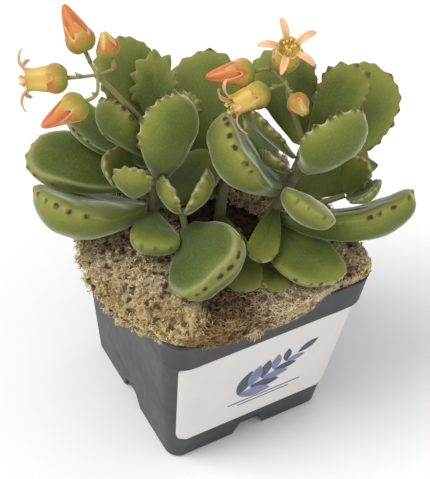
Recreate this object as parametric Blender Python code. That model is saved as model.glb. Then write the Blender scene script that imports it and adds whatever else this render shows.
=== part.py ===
"""Potted cotyledon: a young bear's paw succulent in a square nursery pot.

The pot stands on the floor with its base centre at the origin, its label towards -Y, and +Z up.
Sizes and places are in millimetres and degrees, and MM turns them into Blender's metres.
"""

import math

import bmesh
import bpy
from mathutils import Matrix, Vector

MM = 0.001
CLEARANCE = 0.3            # gap between neighbouring solids

# ---------------------------------------------------------------- driving dimensions: pot
POT_HEIGHT = 83.0
RIM_HALF = 44.5            # half width across the flats at the rim
BASE_HALF = 35.7           # half width across the flats at the base
BAND_HEIGHT = 14.4         # rim band
BAND_STEP = 1.2            # how far the band stands out from the wall
BAND_TAPER = 1.0           # how much narrower the band is at its foot
BAND_CHAMFER = 0.4
RIM_ROUND = 0.5
RIM_CORNER = 9.3
WALL_CORNER = 10.5
BASE_CORNER = 6.0
WALL = 1.5
BASE_EDGE = 1.2
FLOOR = 2.0
CORNER_STEPS = 4

NOTCH_HEIGHT = 9.0
NOTCH_HALF_BOTTOM = 8.2
NOTCH_HALF_TOP = 4.2
NOTCH_DEPTH = 4.0          # how far a drain opening reaches in from the wall
NOTCH_CLEAR = 0.5          # how far the soil stays back from it
NOTCH_OVERSHOOT = 10.0     # how far the cutter passes the wall

LABEL_BOTTOM = 15.3
LABEL_TOP = 67.8
LABEL_THICK = 0.4
LABEL_WRAP = 40.0          # degrees of each corner that the label goes round

SOIL_TOP = 82.7

# ---------------------------------------------------------------- driving dimensions: plant
LEAF_SEGMENTS = 14
LEAF_RINGS = 8
WIDEST = 0.62              # where a leaf is widest, as a share of its length
PETIOLE_WIDTH = 0.15       # half width of a leaf's foot, as a share of its width
PETIOLE_THICK = 0.36       # thickness of a leaf's foot, as a share of its thickness
FOOT_LEAN = 0.25           # how much of that thickness a steep leaf's foot stands off the bark
FOOT_ROUND = 0.06          # share of a leaf's length over which its foot rounds off
BULGE = 1.5                # how late a leaf broadens from its foot
BLUNTNESS = 2.6            # how square a leaf's end is
INNER_SHARE = 0.42         # share of the thickness above the leaf's middle plane
INNER_FLAT = 3.2           # how flat the inner face is
INNER_DISH = 0.1           # how far the inner face dips along its middle
OUTER_ROUND = 2.2          # how round the outer face is

# A stem is its points from the soil up, as (x, y, z), and its diameter.
STEMS = {
    "stem_left": ([(-22, 15, 83), (-22, 15, 100), (-21, 16, 114), (-20, 17, 127)], 4.6),
    "stem_right": ([(15, -7, 83), (15, -7, 87), (19, -8, 98), (24, -9, 112), (27, -10, 127)], 4.6),
    "stem_centre": ([(3, 6, 83), (3, 6, 92), (4, 7, 102)], 4.2),
    "stem_front": ([(-15, -2, 83), (-15, -2, 86), (-16, -1, 93), (-17, 2, 102)], 2.8),
    "twig_left": ([(-25.2, 14.5, 102), (-29, 13, 105), (-32, 11, 109)], 2.4),
    "twig_right": ([(22.8, -10, 99.5), (32, -15, 100), (42, -19, 104)], 2.4),
}

# The sizes that leaves grow to: length, width, thickness, and how far the leaf curls up over its length.
LEAF_SIZES = {
    "plump": (40, 28, 14, 28),
    "fat": (36, 31, 15, 0),
    "round": (38, 29, 8, 0),
    "oval": (36, 25, 11, 10),
    "broad": (48, 28, 8, 10),
    "thick": (45, 28, 11, 8),
    "slim": (36, 18, 6.5, 5),
    "tongue": (36, 14, 5, 0),
    "finger": (55, 22, 14, 56),
    "young": (18, 13.5, 6, 20),
}
# Leaves stand in opposite pairs, and a pair stands about a quarter turn from the one below it.
# A pair is its stem, height and azimuth, then the leaf that points there and the leaf opposite.
# Each leaf is its name, how far light and crowding swing it aside, elevation, roll, size and scale.
# None is a leaf that the plant has shed.
PAIRS = [
    ("stem_left", 92.5, 65, None, ("leaf_left_broad_b", -1, 7, -8, "oval", 0.73)),
    ("stem_left", 95, 165,
     ("leaf_left_lower_a", 12, 4, 22, "plump", 1.12), ("leaf_left_lower_b", 5, 38, 0, "round", 0.75)),
    ("stem_left", 106, 110, ("leaf_left_broad_a", 32, 3, 0, "thick", 1.02), None),
    ("stem_left", 112, 115,
     ("leaf_left_narrow_a", 5, 10, 10, "slim", 1.05), ("leaf_left_cupped", -5, 70, 0, "plump", 0.9)),
    ("stem_left", 119, 200,
     ("leaf_left_upper_a", -45, 40, 45, "plump", 0.68), ("leaf_left_top_b", 2, 47, 18, "slim", 0.65)),
    ("stem_left", 123, 95, ("leaf_left_back", -5, 30, 10, "broad", 0.85), None),
    ("stem_left", 127, 60, ("leaf_left_top_a", 8, 42, -5, "slim", 0.75), None),
    ("stem_right", 86, 70, None, ("leaf_front_low", 0, 0, 0, "tongue", 0.85)),
    ("stem_right", 95, 130, None, ("leaf_right_low", 3, -9, -35, "finger", 0.98)),
    ("stem_right", 91, 80, None, ("leaf_front_broad", 15, 0, -10, "round", 0.95)),
    ("stem_right", 98, 50, None, ("leaf_front_round", -4, 0, 0, "tongue", 0.8)),
    ("stem_right", 102, 355, ("leaf_right_slim", 15, -2, 10, "slim", 1.15), None),
    ("stem_right", 107, 350, None, ("leaf_right_wide", -5, 36, 0, "plump", 1.03)),
    ("stem_right", 107, 75,
     ("leaf_right_inner", 20, 25, 30, "slim", 0.8), ("leaf_right_oval", 0, 18, -35, "oval", 0.82)),
    ("stem_right", 118, 85, None, ("leaf_right_cupped", 20, 50, -15, "plump", 0.87)),
    ("stem_right", 115, 5,
     ("leaf_right_round", 10, 25, 25, "broad", 1.0), ("leaf_right_bract", -20, 32, 30, "young", 0.8)),
    ("stem_right", 121, 160, ("leaf_right_upper_a", -10, 45, 35, "slim", 0.75), None),
    ("stem_right", 126, 75, ("leaf_right_top_a", 5, 30, -25, "broad", 0.78), None),
    ("stem_right", 127, 35, ("leaf_right_top_b", -15, 45, 30, "slim", 0.88), None),
    ("stem_centre", 88, 75, None, ("leaf_front_small", 0, 0, 0, "tongue", 1.1)),
    ("stem_centre", 97, 110, ("leaf_centre_low", 0, 10, -15, "round", 0.85), None),
    ("stem_centre", 101, 75, ("leaf_centre_back", 0, 35, -25, "broad", 1.05), None),
    ("stem_front", 94, 70, None, ("leaf_front_fat", 12, 14, 38, "fat", 1.0)),
    ("stem_front", 102, 135,
     ("leaf_young_a", 45, 60, 0, "young", 0.95), ("leaf_young_b", -5, 60, 0, "young", 1.15)),
    ("twig_left", 108.5, 130,
     ("leaf_twig_left_a", -10, 45, 0, "young", 1.0), ("leaf_twig_left_b", -80, 62, 0, "young", 0.95)),
    ("twig_right", 103.8, 45,
     ("leaf_twig_right_a", -27, 56, 0, "young", 0.87), ("leaf_twig_right_b", 77, 32, 0, "young", 0.84)),
]

# A flower head is its kind, the centre of its ball (x, y, z), and the azimuth and elevation of its axis.
HEADS = {
    "flower_left": ("open", (-54, 30, 155), 155, -5),
    "bud_left_upper": ("bud", (-41.5, 36.5, 163), 105, 50),
    "bud_left_small": ("small", (-34, 30, 162), 100, 60),
    "bud_left_lower": ("bud", (-51, 21, 148), 170, -28),
    "bud_right": ("bud", (10, 12, 150), 160, -5),
    "flower_right": ("open", (12, 4, 145), 175, -15),
    "flower_top": ("open", (25.5, 8, 154.5), -120, 60),
    "bud_right_small": ("small", (24, -5, 144), -90, -10),
}
# A stalk is its foot, its fork, and the heads that its branches carry.
STALKS = {
    "stalk_left": ((-20, 17, 128), (-40, 26, 155),
                   ("flower_left", "bud_left_upper", "bud_left_small", "bud_left_lower")),
    "stalk_right": ((27, -8, 128.5), (24, 4, 146),
                    ("bud_right", "flower_right", "flower_top", "bud_right_small")),
}
STALK_DIAMETER = 2.6
BRANCH_DIAMETER = 1.5
KNOB_RADIUS = 1.9          # the swelling where the branches part
BRANCH_BEND = 0.5          # share of a branch that already points along its head

# Profiles run from the ball's foot to the tip: (place along the axis, radius, how deep the lobes are cut).
HEAD_PROFILES = {
    "bud": [(-3.6, 3.3, 0), (-1.0, 4.9, 0), (2.0, 4.7, 0), (5.0, 4.1, 0), (8.4, 2.9, 0), (11.4, 1.5, 0)],
    "small": [(-3.0, 2.7, 0), (-1.0, 3.8, 0), (1.2, 3.7, 0), (3.0, 3.1, 0), (4.4, 2.2, 0), (5.6, 1.0, 0)],
    "open": [(-3.6, 3.3, 0), (-1.0, 4.9, 0), (2.2, 4.6, 0), (6.0, 3.7, 0), (11.2, 8.6, 0.75), (8.8, 3.2, 0)],
}
# Where a head's foot and tip lie along its axis.
HEAD_ENDS = {"bud": (-4.8, 13.0), "small": (-3.8, 6.2), "open": (-4.8, 8.0)}
HEAD_SEGMENTS = 20
LOBES = 5

# A clump of moss covers part of the ring round the stems: (first azimuth, last azimuth, inner radius, height).
MOSS = {
    "moss_left": (150, 228, 19, 6.5),
    "moss_front": (230, 286, 21, 3.5),
    "moss_right": (288, 400, 24, 5.0),
    "moss_back": (402, 492, 26, 5.0),
}
# Leaves that press into a clump.
PRESSED = {
    "moss_left": ("leaf_front_fat",),
    "moss_front": ("leaf_front_fat", "leaf_front_small", "leaf_front_low", "leaf_front_broad"),
    "moss_right": ("leaf_front_broad", "leaf_front_low", "leaf_right_low"),
}
MOSS_HALF = 46.5           # the clumps reach just over the rim
MOSS_OUTLINE = 5.0         # how square the ring of moss is: 2 would be a circle
MOSS_SQUARENESS = 0.9      # how far each clump fills the corners of its share
MOSS_CROWN = 2.5           # how flat the top of a clump is
MOSS_EDGE = 1.4            # height of a clump at its edge
EQUATOR = 0.01             # the ball's lower half starts below this
MOSS_SEGMENTS = 20
MOSS_RINGS = 8

COLOURS = {
    "pot": ((0.045, 0.047, 0.055), 0.45),
    "label": ((0.70, 0.69, 0.65), 0.40),
    "soil": ((0.060, 0.038, 0.024), 0.95),
    "moss": ((0.55, 0.42, 0.22), 0.95),
    "stem": ((0.22, 0.17, 0.08), 0.75),
    "leaf": ((0.16, 0.24, 0.05), 0.65),
    "flower": ((0.80, 0.34, 0.14), 0.55),
}


def new_collection(name):
    """Make a collection in the scene."""
    collection = bpy.data.collections.new(name)
    bpy.context.scene.collection.children.link(collection)
    return collection


def clear_scene():
    """Remove the objects that the scene starts with."""
    for obj in list(bpy.data.objects):
        bpy.data.objects.remove(obj, do_unlink=True)


def material_for(kind):
    """Make the Principled material of a kind of piece."""
    material = bpy.data.materials.new(kind)
    material.use_nodes = True
    colour, roughness = COLOURS[kind]
    shader = material.node_tree.nodes["Principled BSDF"]
    shader.inputs["Base Color"].default_value = (*colour, 1.0)
    shader.inputs["Roughness"].default_value = roughness
    shader.inputs["Metallic"].default_value = 0.0
    return material


def add_object(name, bm, collection, kind, smooth=True):
    """Turn a bmesh in millimetres into an object in metres, with its own material."""
    bmesh.ops.scale(bm, vec=(MM, MM, MM), verts=bm.verts)
    bmesh.ops.recalc_face_normals(bm, faces=bm.faces)
    mesh = bpy.data.meshes.new(name)
    bm.to_mesh(mesh)
    bm.free()
    if smooth:
        mesh.shade_smooth()
    obj = bpy.data.objects.new(name, mesh)
    collection.objects.link(obj)
    if kind:
        mesh.materials.append(material_for(kind))
    return obj


def direction(azimuth, elevation):
    """Return the unit vector at an azimuth and elevation in degrees."""
    a = math.radians(azimuth)
    e = math.radians(elevation)
    return Vector((math.cos(a) * math.cos(e), math.sin(a) * math.cos(e), math.sin(e)))


# ---------------------------------------------------------------- pot, label and soil
def rounded_square(half, corner, z):
    """Return the outline of a square with round corners, counter-clockwise from above."""
    points = []
    inner = half - corner
    for quarter in range(4):
        centre = Vector((inner, inner, 0))
        centre.rotate(Matrix.Rotation(quarter * math.pi / 2, 3, "Z"))
        for step in range(CORNER_STEPS + 1):
            angle = (quarter + step / CORNER_STEPS) * math.pi / 2
            points.append(Vector((centre.x + corner * math.cos(angle),
                                  centre.y + corner * math.sin(angle), z)))
    return points


def loft(bm, rings):
    """Skin closed rings of equal length in order, and cap the first and the last."""
    loops = [[bm.verts.new(point) for point in ring] for ring in rings]
    count = len(loops[0])
    for lower, upper in zip(loops, loops[1:]):
        for i in range(count):
            j = (i + 1) % count
            bm.faces.new((lower[i], lower[j], upper[j], upper[i]))
    bm.faces.new(loops[0][::-1])
    bm.faces.new(loops[-1])


def wall_half(z):
    """Return the pot wall's outer half width at a height below the band."""
    top = POT_HEIGHT - BAND_HEIGHT
    top_half = RIM_HALF - BAND_STEP - BAND_TAPER
    return BASE_HALF + (top_half - BASE_HALF) * z / top


def wall_corner(z):
    """Return the pot wall's outer corner radius at a height."""
    return BASE_CORNER + (WALL_CORNER - BASE_CORNER) * z / (POT_HEIGHT - BAND_HEIGHT)


def drain_cutter(collection, target, quarter, grow):
    """Make the wedge that cuts one drain opening in a target, grown on every side to keep it clear."""
    reach = BASE_HALF - NOTCH_DEPTH - grow
    bm = bmesh.new()
    rings = []
    for depth in (reach, BASE_HALF + NOTCH_OVERSHOOT):
        rings.append([
            Vector((-NOTCH_HALF_BOTTOM - grow, -depth, -1)),
            Vector((NOTCH_HALF_BOTTOM + grow, -depth, -1)),
            Vector((NOTCH_HALF_TOP + grow, -depth, NOTCH_HEIGHT + grow)),
            Vector((-NOTCH_HALF_TOP - grow, -depth, NOTCH_HEIGHT + grow)),
        ])
    loft(bm, rings)
    bmesh.ops.rotate(bm, verts=bm.verts, matrix=Matrix.Rotation(quarter * math.pi / 2, 3, "Z"))
    cutter = add_object(f"cutter_{target}_drain_{quarter}", bm, collection, None, smooth=False)
    hide(cutter)
    return cutter


def hide(guide):
    """Mark an object as a cutter or guide."""
    guide.hide_render = True
    guide.display_type = "WIRE"


def cut(obj, cutter, operation="DIFFERENCE"):
    """Add an exact Boolean to an object."""
    modifier = obj.modifiers.new(f"{operation.lower()}_{cutter.name}", "BOOLEAN")
    modifier.operation = operation
    modifier.object = cutter
    modifier.solver = "EXACT"


def make_pot(parts, cutters):
    """Model the pot as one shell: outer wall, band, rim, inner wall and floor."""
    band_foot = POT_HEIGHT - BAND_HEIGHT
    inner_rim = RIM_HALF - WALL
    inner_floor = BASE_HALF - WALL
    rings = [
        rounded_square(BASE_HALF - BASE_EDGE, BASE_CORNER - BASE_EDGE, 0),
        rounded_square(BASE_HALF, BASE_CORNER, BASE_EDGE),
        rounded_square(wall_half(band_foot), WALL_CORNER, band_foot),
        rounded_square(RIM_HALF - BAND_TAPER, RIM_CORNER, band_foot + BAND_CHAMFER),
        rounded_square(RIM_HALF, RIM_CORNER, POT_HEIGHT - RIM_ROUND),
        rounded_square(RIM_HALF - RIM_ROUND, RIM_CORNER, POT_HEIGHT),
        rounded_square(inner_rim, RIM_CORNER - WALL, POT_HEIGHT),
        rounded_square(wall_half(band_foot) - WALL, WALL_CORNER - WALL, band_foot),
        rounded_square(inner_floor, BASE_CORNER - WALL, FLOOR),
    ]
    bm = bmesh.new()
    loft(bm, rings)
    pot = add_object("pot", bm, parts, "pot", smooth=False)
    for quarter in range(4):
        cut(pot, drain_cutter(cutters, "pot", quarter, 0.0))


def make_soil(parts, cutters):
    """Fill the pot with soil, clear of its wall and its drain openings."""
    band_foot = POT_HEIGHT - BAND_HEIGHT
    gap = WALL + CLEARANCE
    rings = [
        rounded_square(BASE_HALF - gap, BASE_CORNER - gap, FLOOR + CLEARANCE),
        rounded_square(wall_half(band_foot) - gap, WALL_CORNER - gap, band_foot),
        rounded_square(RIM_HALF - gap - CLEARANCE, RIM_CORNER - gap, SOIL_TOP),
    ]
    bm = bmesh.new()
    loft(bm, rings)
    soil = add_object("soil", bm, parts, "soil", smooth=False)
    for quarter in range(4):
        cut(soil, drain_cutter(cutters, "soil", quarter, NOTCH_CLEAR))


def front_strip(offset, z):
    """Return the wall's outline across the front, round part of both corners, at an offset."""
    half = wall_half(z) + offset
    corner = wall_corner(z) + offset
    inner = half - corner
    points = []
    for side, first, last in ((-1, -90 - LABEL_WRAP, -90), (1, -90, -90 + LABEL_WRAP)):
        for step in range(CORNER_STEPS + 1):
            angle = math.radians(first + (last - first) * step / CORNER_STEPS)
            points.append(Vector((side * inner + corner * math.cos(angle),
                                  -inner + corner * math.sin(angle), z)))
    return points


def make_label(parts):
    """Model the label as a thin sheet just off the front wall."""
    rings = []
    for z in (LABEL_BOTTOM, LABEL_TOP):
        outer = front_strip(CLEARANCE + LABEL_THICK, z)
        inner = front_strip(CLEARANCE, z)
        rings.append(outer + inner[::-1])
    bm = bmesh.new()
    loft(bm, rings)
    add_object("label", bm, parts, "label", smooth=False)


# ---------------------------------------------------------------- soft solids: leaves, moss, flower heads
def mapped_ball(segments, rings, shape):
    """Turn a ball into a soft solid: shape takes the turn, the distance from the pole and the side."""
    bm = bmesh.new()
    bmesh.ops.create_uvsphere(bm, u_segments=segments, v_segments=rings, radius=1.0)
    for vert in bm.verts:
        spread = min(1.0, math.hypot(vert.co.x, vert.co.y))
        turn = math.atan2(vert.co.y, vert.co.x)
        vert.co = shape(turn, spread, vert.co.z)
    return bm


def superellipse(across, power):
    """Return the height of a unit superellipse at a distance across from its middle."""
    return max(0.0, 1 - across ** power) ** (1 / power)


def leaf_half_width(u, width):
    """Return a leaf's half width at a share u of its length: a narrow foot and a broad blunt end."""
    half = width / 2
    foot = PETIOLE_WIDTH * width
    if u < WIDEST:
        return foot + (half - foot) * math.sin(math.pi / 2 * u / WIDEST) ** BULGE
    return half * superellipse((u - WIDEST) / (1 - WIDEST), BLUNTNESS)


def leaf_shape(length, width, thickness, curl):
    """Return the function that lays a ball out as a leaf along +X with its inner face up."""
    def shape(turn, spread, side):
        u = 0.5 + 0.5 * math.cos(turn)
        spine = min(max(u, FOOT_ROUND), WIDEST)
        rim_y = leaf_half_width(u, width)
        if u < FOOT_ROUND:
            rim_y *= math.sqrt(max(0.0, u / FOOT_ROUND))
        x = length * (spine + (u - spine) * spread)
        y = math.copysign(rim_y, math.sin(turn)) * spread
        local = thickness * (PETIOLE_THICK + (1 - PETIOLE_THICK) * min(1.0, x / length / WIDEST))
        if side >= 0:
            z = local * (INNER_SHARE * superellipse(spread, INNER_FLAT) - INNER_DISH * (1 - spread ** 2))
        else:
            z = -local * (1 - INNER_SHARE) * superellipse(spread, OUTER_ROUND)
        if curl == 0:
            return Vector((x, y, z))
        radius = length / math.radians(curl)
        bent = x / radius
        return Vector(((radius - z) * math.sin(bent), y, radius - (radius - z) * math.cos(bent)))
    return shape


def aim(azimuth, elevation, roll):
    """Return the turn that takes a leaf's +X to its direction, rolled about its own length."""
    turn_z = Matrix.Rotation(math.radians(azimuth), 4, "Z")
    turn_y = Matrix.Rotation(math.radians(-elevation), 4, "Y")
    turn_x = Matrix.Rotation(math.radians(roll), 4, "X")
    return turn_z @ turn_y @ turn_x


def point_on_stem(points, height):
    """Return the point of a stem's axis at a height."""
    for low, high in zip(points, points[1:]):
        if height <= high[2]:
            break
    share = (height - low[2]) / (high[2] - low[2])
    return Vector(low).lerp(Vector(high), min(1.0, share))


def leaf_foot(stem, height, azimuth, elevation, thickness):
    """Return where a leaf starts: just off the bark, further out where the leaf stands steeply."""
    points, diameter = STEMS[stem]
    reach = diameter / 2 + CLEARANCE
    reach += FOOT_LEAN * PETIOLE_THICK * thickness * math.sin(math.radians(max(0, elevation)))
    return point_on_stem(points, height) + direction(azimuth, 0) * reach


def leaf_places():
    """Return each leaf's stem, height, azimuth, elevation, roll, length, width, thickness and curl."""
    places = {}
    for stem, height, azimuth, *leaves in PAIRS:
        for leaf, turn in zip(leaves, (0, 180)):
            if leaf is None:
                continue
            name, swing, elevation, roll, size, scale = leaf
            length, width, thickness, curl = LEAF_SIZES[size]
            places[name] = (stem, height, azimuth + turn + swing, elevation, roll,
                            length * scale, width * scale, thickness * scale, curl)
    return places


def make_leaf(name, place, collection, grow=0.0):
    """Model one leaf on its stem, grown on every side where it presses into what it lies on."""
    stem, height, azimuth, elevation, roll, length, width, thickness, curl = place
    grown = leaf_shape(length + grow, width + 2 * grow, thickness + 2 * grow, curl)
    bm = mapped_ball(LEAF_SEGMENTS, LEAF_RINGS, grown)
    leaf = add_object(name, bm, collection, "leaf")
    foot = leaf_foot(stem, height, azimuth, elevation, thickness)
    leaf.matrix_world = Matrix.Translation(foot * MM) @ aim(azimuth, elevation, roll)
    return leaf


def make_leaves(parts):
    """Model every leaf."""
    for name, place in leaf_places().items():
        make_leaf(name, place, parts)


def head_shape(kind):
    """Return the function that lays a ball out as a flower head along +Z, foot down."""
    profile = HEAD_PROFILES[kind]
    foot, tip = HEAD_ENDS[kind]

    def shape(turn, spread, side):
        level = math.acos(max(-1.0, min(1.0, -side))) / math.pi * (len(profile) + 1)
        index = round(level)
        if index == 0:
            return Vector((0, 0, foot))
        if index == len(profile) + 1:
            return Vector((0, 0, tip))
        z, radius, lobe = profile[index - 1]
        radius *= 1 - lobe * (0.5 - 0.5 * math.cos(LOBES * turn))
        return Vector((radius * math.cos(turn), radius * math.sin(turn), z))
    return shape


def make_heads(parts):
    """Model each flower and bud as one solid."""
    for name, (kind, centre, azimuth, elevation) in HEADS.items():
        rings = len(HEAD_PROFILES[kind]) + 1
        bm = mapped_ball(HEAD_SEGMENTS, rings, head_shape(kind))
        head = add_object(name, bm, parts, "flower")
        to_axis = direction(azimuth, elevation).to_track_quat("Z", "Y").to_matrix().to_4x4()
        head.matrix_world = Matrix.Translation(Vector(centre) * MM) @ to_axis


def moss_edge(azimuth):
    """Return how far the moss reaches at an azimuth: a square with round corners."""
    c = abs(math.cos(math.radians(azimuth)))
    s = abs(math.sin(math.radians(azimuth)))
    return MOSS_HALF / (c ** MOSS_OUTLINE + s ** MOSS_OUTLINE) ** (1 / MOSS_OUTLINE)


def make_moss(parts, cutters):
    """Model each clump as a low dome over its share of the pot's top."""
    bottom = POT_HEIGHT + CLEARANCE
    places = leaf_places()
    for name, (first, last, inner, height) in MOSS.items():
        def shape(turn, spread, side):
            reach = spread / max(abs(math.cos(turn)), abs(math.sin(turn))) ** MOSS_SQUARENESS
            across = reach * math.cos(turn)
            along = reach * math.sin(turn)
            azimuth = (first + last) / 2 + (last - first) / 2 * along
            outer = moss_edge(azimuth)
            radius = (inner + outer) / 2 + (outer - inner) / 2 * across
            top = bottom + MOSS_EDGE + (height - MOSS_EDGE) * superellipse(spread, MOSS_CROWN)
            z = bottom if side < -EQUATOR else top
            return direction(azimuth, 0) * radius + Vector((0, 0, z))
        bm = mapped_ball(MOSS_SEGMENTS, MOSS_RINGS, shape)
        clump = add_object(name, bm, parts, "moss")
        for leaf in PRESSED.get(name, ()):
            dent = make_leaf(f"cutter_{name}_{leaf}", places[leaf], cutters, grow=2 * CLEARANCE)
            hide(dent)
            cut(clump, dent)


# ---------------------------------------------------------------- stems and stalks
def tube(name, points, diameter, collection, kind):
    """Model a round tube along points, as a welded mesh."""
    curve = bpy.data.curves.new(name, "CURVE")
    curve.dimensions = "3D"
    curve.bevel_depth = diameter / 2 * MM
    curve.bevel_resolution = 4
    curve.use_fill_caps = True
    spline = curve.splines.new("POLY")
    spline.points.add(len(points) - 1)
    for target, point in zip(spline.points, points):
        target.co = (*(Vector(point) * MM), 1.0)
    guide = bpy.data.objects.new(name + "_curve", curve)
    collection.objects.link(guide)
    bpy.context.view_layer.update()
    mesh = bpy.data.meshes.new_from_object(guide.evaluated_get(bpy.context.evaluated_depsgraph_get()))
    bpy.data.objects.remove(guide, do_unlink=True)
    bm = bmesh.new()
    bm.from_mesh(mesh)
    bpy.data.meshes.remove(mesh)
    bmesh.ops.remove_doubles(bm, verts=bm.verts, dist=1e-6)
    bmesh.ops.scale(bm, vec=(1 / MM, 1 / MM, 1 / MM), verts=bm.verts)
    return add_object(name, bm, collection, kind)


def make_stems(parts):
    """Model the woody stems and the twigs."""
    for name, (points, diameter) in STEMS.items():
        tube(name, points, diameter, parts, "stem")


def make_stalks(parts, cutters):
    """Model each flower stalk and its branches as one solid."""
    for name, (foot, fork, heads) in STALKS.items():
        stalk = tube(name, [foot, fork], STALK_DIAMETER, parts, "stem")
        bm = bmesh.new()
        bmesh.ops.create_icosphere(bm, subdivisions=2, radius=KNOB_RADIUS)
        bmesh.ops.translate(bm, vec=fork, verts=bm.verts)
        knob = add_object(f"knob_{name}", bm, cutters, None)
        hide(knob)
        cut(stalk, knob, "UNION")
        for head in heads:
            kind, centre, azimuth, elevation = HEADS[head]
            axis = direction(azimuth, elevation)
            foot_z, _tip_z = HEAD_ENDS[kind]
            seat = Vector(centre) + axis * (foot_z - 2 * CLEARANCE)
            bend = seat - axis * (seat - Vector(fork)).length * BRANCH_BEND
            branch = tube(f"branch_{head}", [fork, bend, seat], BRANCH_DIAMETER, cutters, None)
            hide(branch)
            cut(stalk, branch, "UNION")


def main():
    """Build the potted plant."""
    clear_scene()
    parts = new_collection("potted_cotyledon")
    cutters = new_collection("cutters")
    make_pot(parts, cutters)
    make_label(parts)
    make_soil(parts, cutters)
    make_moss(parts, cutters)
    make_stems(parts)
    make_leaves(parts)
    make_stalks(parts, cutters)
    make_heads(parts)


main()
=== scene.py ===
"""Potted cotyledon: the looks of the plant, its moss, its pot and its label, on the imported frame.

Sizes and places are in millimetres and degrees, and MM turns them into metres.
"""

import math

import bmesh
import bpy
import numpy as np
from mathutils import Matrix, Vector, noise


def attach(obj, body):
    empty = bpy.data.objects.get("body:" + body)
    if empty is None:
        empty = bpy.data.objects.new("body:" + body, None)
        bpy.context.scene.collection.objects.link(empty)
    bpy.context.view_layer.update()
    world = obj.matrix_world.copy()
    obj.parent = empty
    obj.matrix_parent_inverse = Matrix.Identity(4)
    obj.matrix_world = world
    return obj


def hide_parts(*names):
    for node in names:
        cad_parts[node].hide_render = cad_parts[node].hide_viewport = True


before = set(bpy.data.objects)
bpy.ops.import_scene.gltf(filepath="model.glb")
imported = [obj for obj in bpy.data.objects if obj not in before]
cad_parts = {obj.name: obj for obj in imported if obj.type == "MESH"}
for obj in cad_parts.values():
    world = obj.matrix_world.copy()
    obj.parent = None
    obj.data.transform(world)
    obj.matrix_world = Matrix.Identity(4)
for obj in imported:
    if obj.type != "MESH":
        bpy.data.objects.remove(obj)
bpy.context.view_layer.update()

MM = 0.001

# ---------------------------------------------------------------- the model's own dimensions
POT_HEIGHT = 83.0
RIM_HALF = 44.5
BASE_HALF = 35.7
BAND_HEIGHT = 14.4
BAND_STEP = 1.2
BAND_TAPER = 1.0
RIM_CORNER = 9.3
WALL_CORNER = 10.5
BASE_CORNER = 6.0
WALL = 1.5
FLOOR = 2.0
CORNER_STEPS = 14

NOTCH_HEIGHT = 9.0
NOTCH_HALF_BOTTOM = 8.2
NOTCH_HALF_TOP = 4.2
NOTCH_DEPTH = 4.0

LABEL_BOTTOM = 15.3
LABEL_TOP = 67.8
LABEL_OFFSET = 0.3
LABEL_THICK = 0.35
LABEL_WRAP = 40.0
LABEL_CORNER = 4.0

# A stem is its points from the soil up and its diameter.
STEMS = {
    "stem_left": ([(-22, 15, 83), (-22, 15, 100), (-21, 16, 114), (-20, 17, 127)], 4.6),
    "stem_right": ([(15, -7, 83), (15, -7, 87), (19, -8, 98), (24, -9, 112), (27, -10, 127)], 4.6),
    "stem_centre": ([(3, 6, 83), (3, 6, 92), (4, 7, 102)], 4.2),
    "stem_front": ([(-15, -2, 83), (-15, -2, 86), (-16, -1, 93), (-17, 2, 102)], 2.8),
    "twig_left": ([(-25.2, 14.5, 102), (-29, 13, 105), (-32, 11, 109)], 2.4),
    "twig_right": ([(22.8, -10, 99.5), (32, -15, 100), (42, -19, 104)], 2.4),
}

# A leaf's form: widths as shares of its width, thicknesses of its thickness, and places of its length.
WIDEST = 0.62
PETIOLE_WIDTH = 0.15
PETIOLE_THICK = 0.36
FOOT_LEAN = 0.25
FOOT_ROUND = 0.06
BULGE = 1.5
BLUNTNESS = 2.6
INNER_SHARE = 0.42
INNER_FLAT = 3.2
OUTER_ROUND = 2.2
CLEARANCE = 0.3

# The sizes that leaves grow to: length, width, thickness, and how far the leaf curls up over its length.
LEAF_SIZES = {
    "plump": (40, 28, 14, 28),
    "fat": (36, 31, 15, 0),
    "round": (38, 29, 8, 0),
    "oval": (36, 25, 11, 10),
    "broad": (48, 28, 8, 10),
    "thick": (45, 28, 11, 8),
    "slim": (36, 18, 6.5, 5),
    "tongue": (36, 14, 5, 0),
    "finger": (55, 22, 14, 56),
    "young": (18, 13.5, 6, 20),
}
# How a leaf's rim grows: its height over the leaf's middle as a share of the thickness, teeth, tooth height,
# tooth half width (0 lets the teeth fill the rim), how far the teeth go round, how far the face is dished,
# how far the teeth lean in over the face, and how dark they are.
LEAF_RIMS = {
    "plump": (0.22, 9, 1.2, 1.15, 70, 0.06, 0.3, 1.0),
    "cupped": (0.36, 10, 1.7, 1.15, 92, 0.22, 0.7, 0.9),
    "fat": (0.18, 7, 1.4, 1.5, 62, 0.02, 0.2, 1.0),
    "round": (0.10, 6, 0.5, 0.8, 60, 0.04, 0.0, 0.8),
    "oval": (0.22, 5, 0.4, 0.7, 52, -0.16, 0.0, 0.5),
    "broad": (0.04, 15, 1.5, 1.4, 112, 0.10, 0.1, 1.0),
    "scalloped": (0.04, 13, 1.5, 0.0, 112, 0.10, 0.0, 0.35),
    "thick": (0.16, 8, 1.0, 1.0, 66, 0.02, 0.2, 0.8),
    "slim": (0.04, 11, 2.3, 0.0, 122, 0.14, 0.2, 0.7),
    "frilled": (0.04, 9, 3.0, 0.0, 122, 0.14, 0.2, 0.2),
    "tongue": (0.06, 5, 0.5, 0.6, 60, 0.06, 0.0, 0.6),
    "finger": (0.18, 9, 1.1, 1.0, 74, 0.04, 0.3, 1.0),
    "young": (0.14, 9, 1.5, 0.0, 120, 0.30, 0.3, 0.3),
}
# How pale the line along a rim is, where it isn't as pale as most: whitish hairs with a painted sheen.
RIM_LINES = {"plump": 0.15, "finger": 0.15, "oval": 0.15, "fat": 0.0, "thick": 0.0, "round": 0.35}
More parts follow.
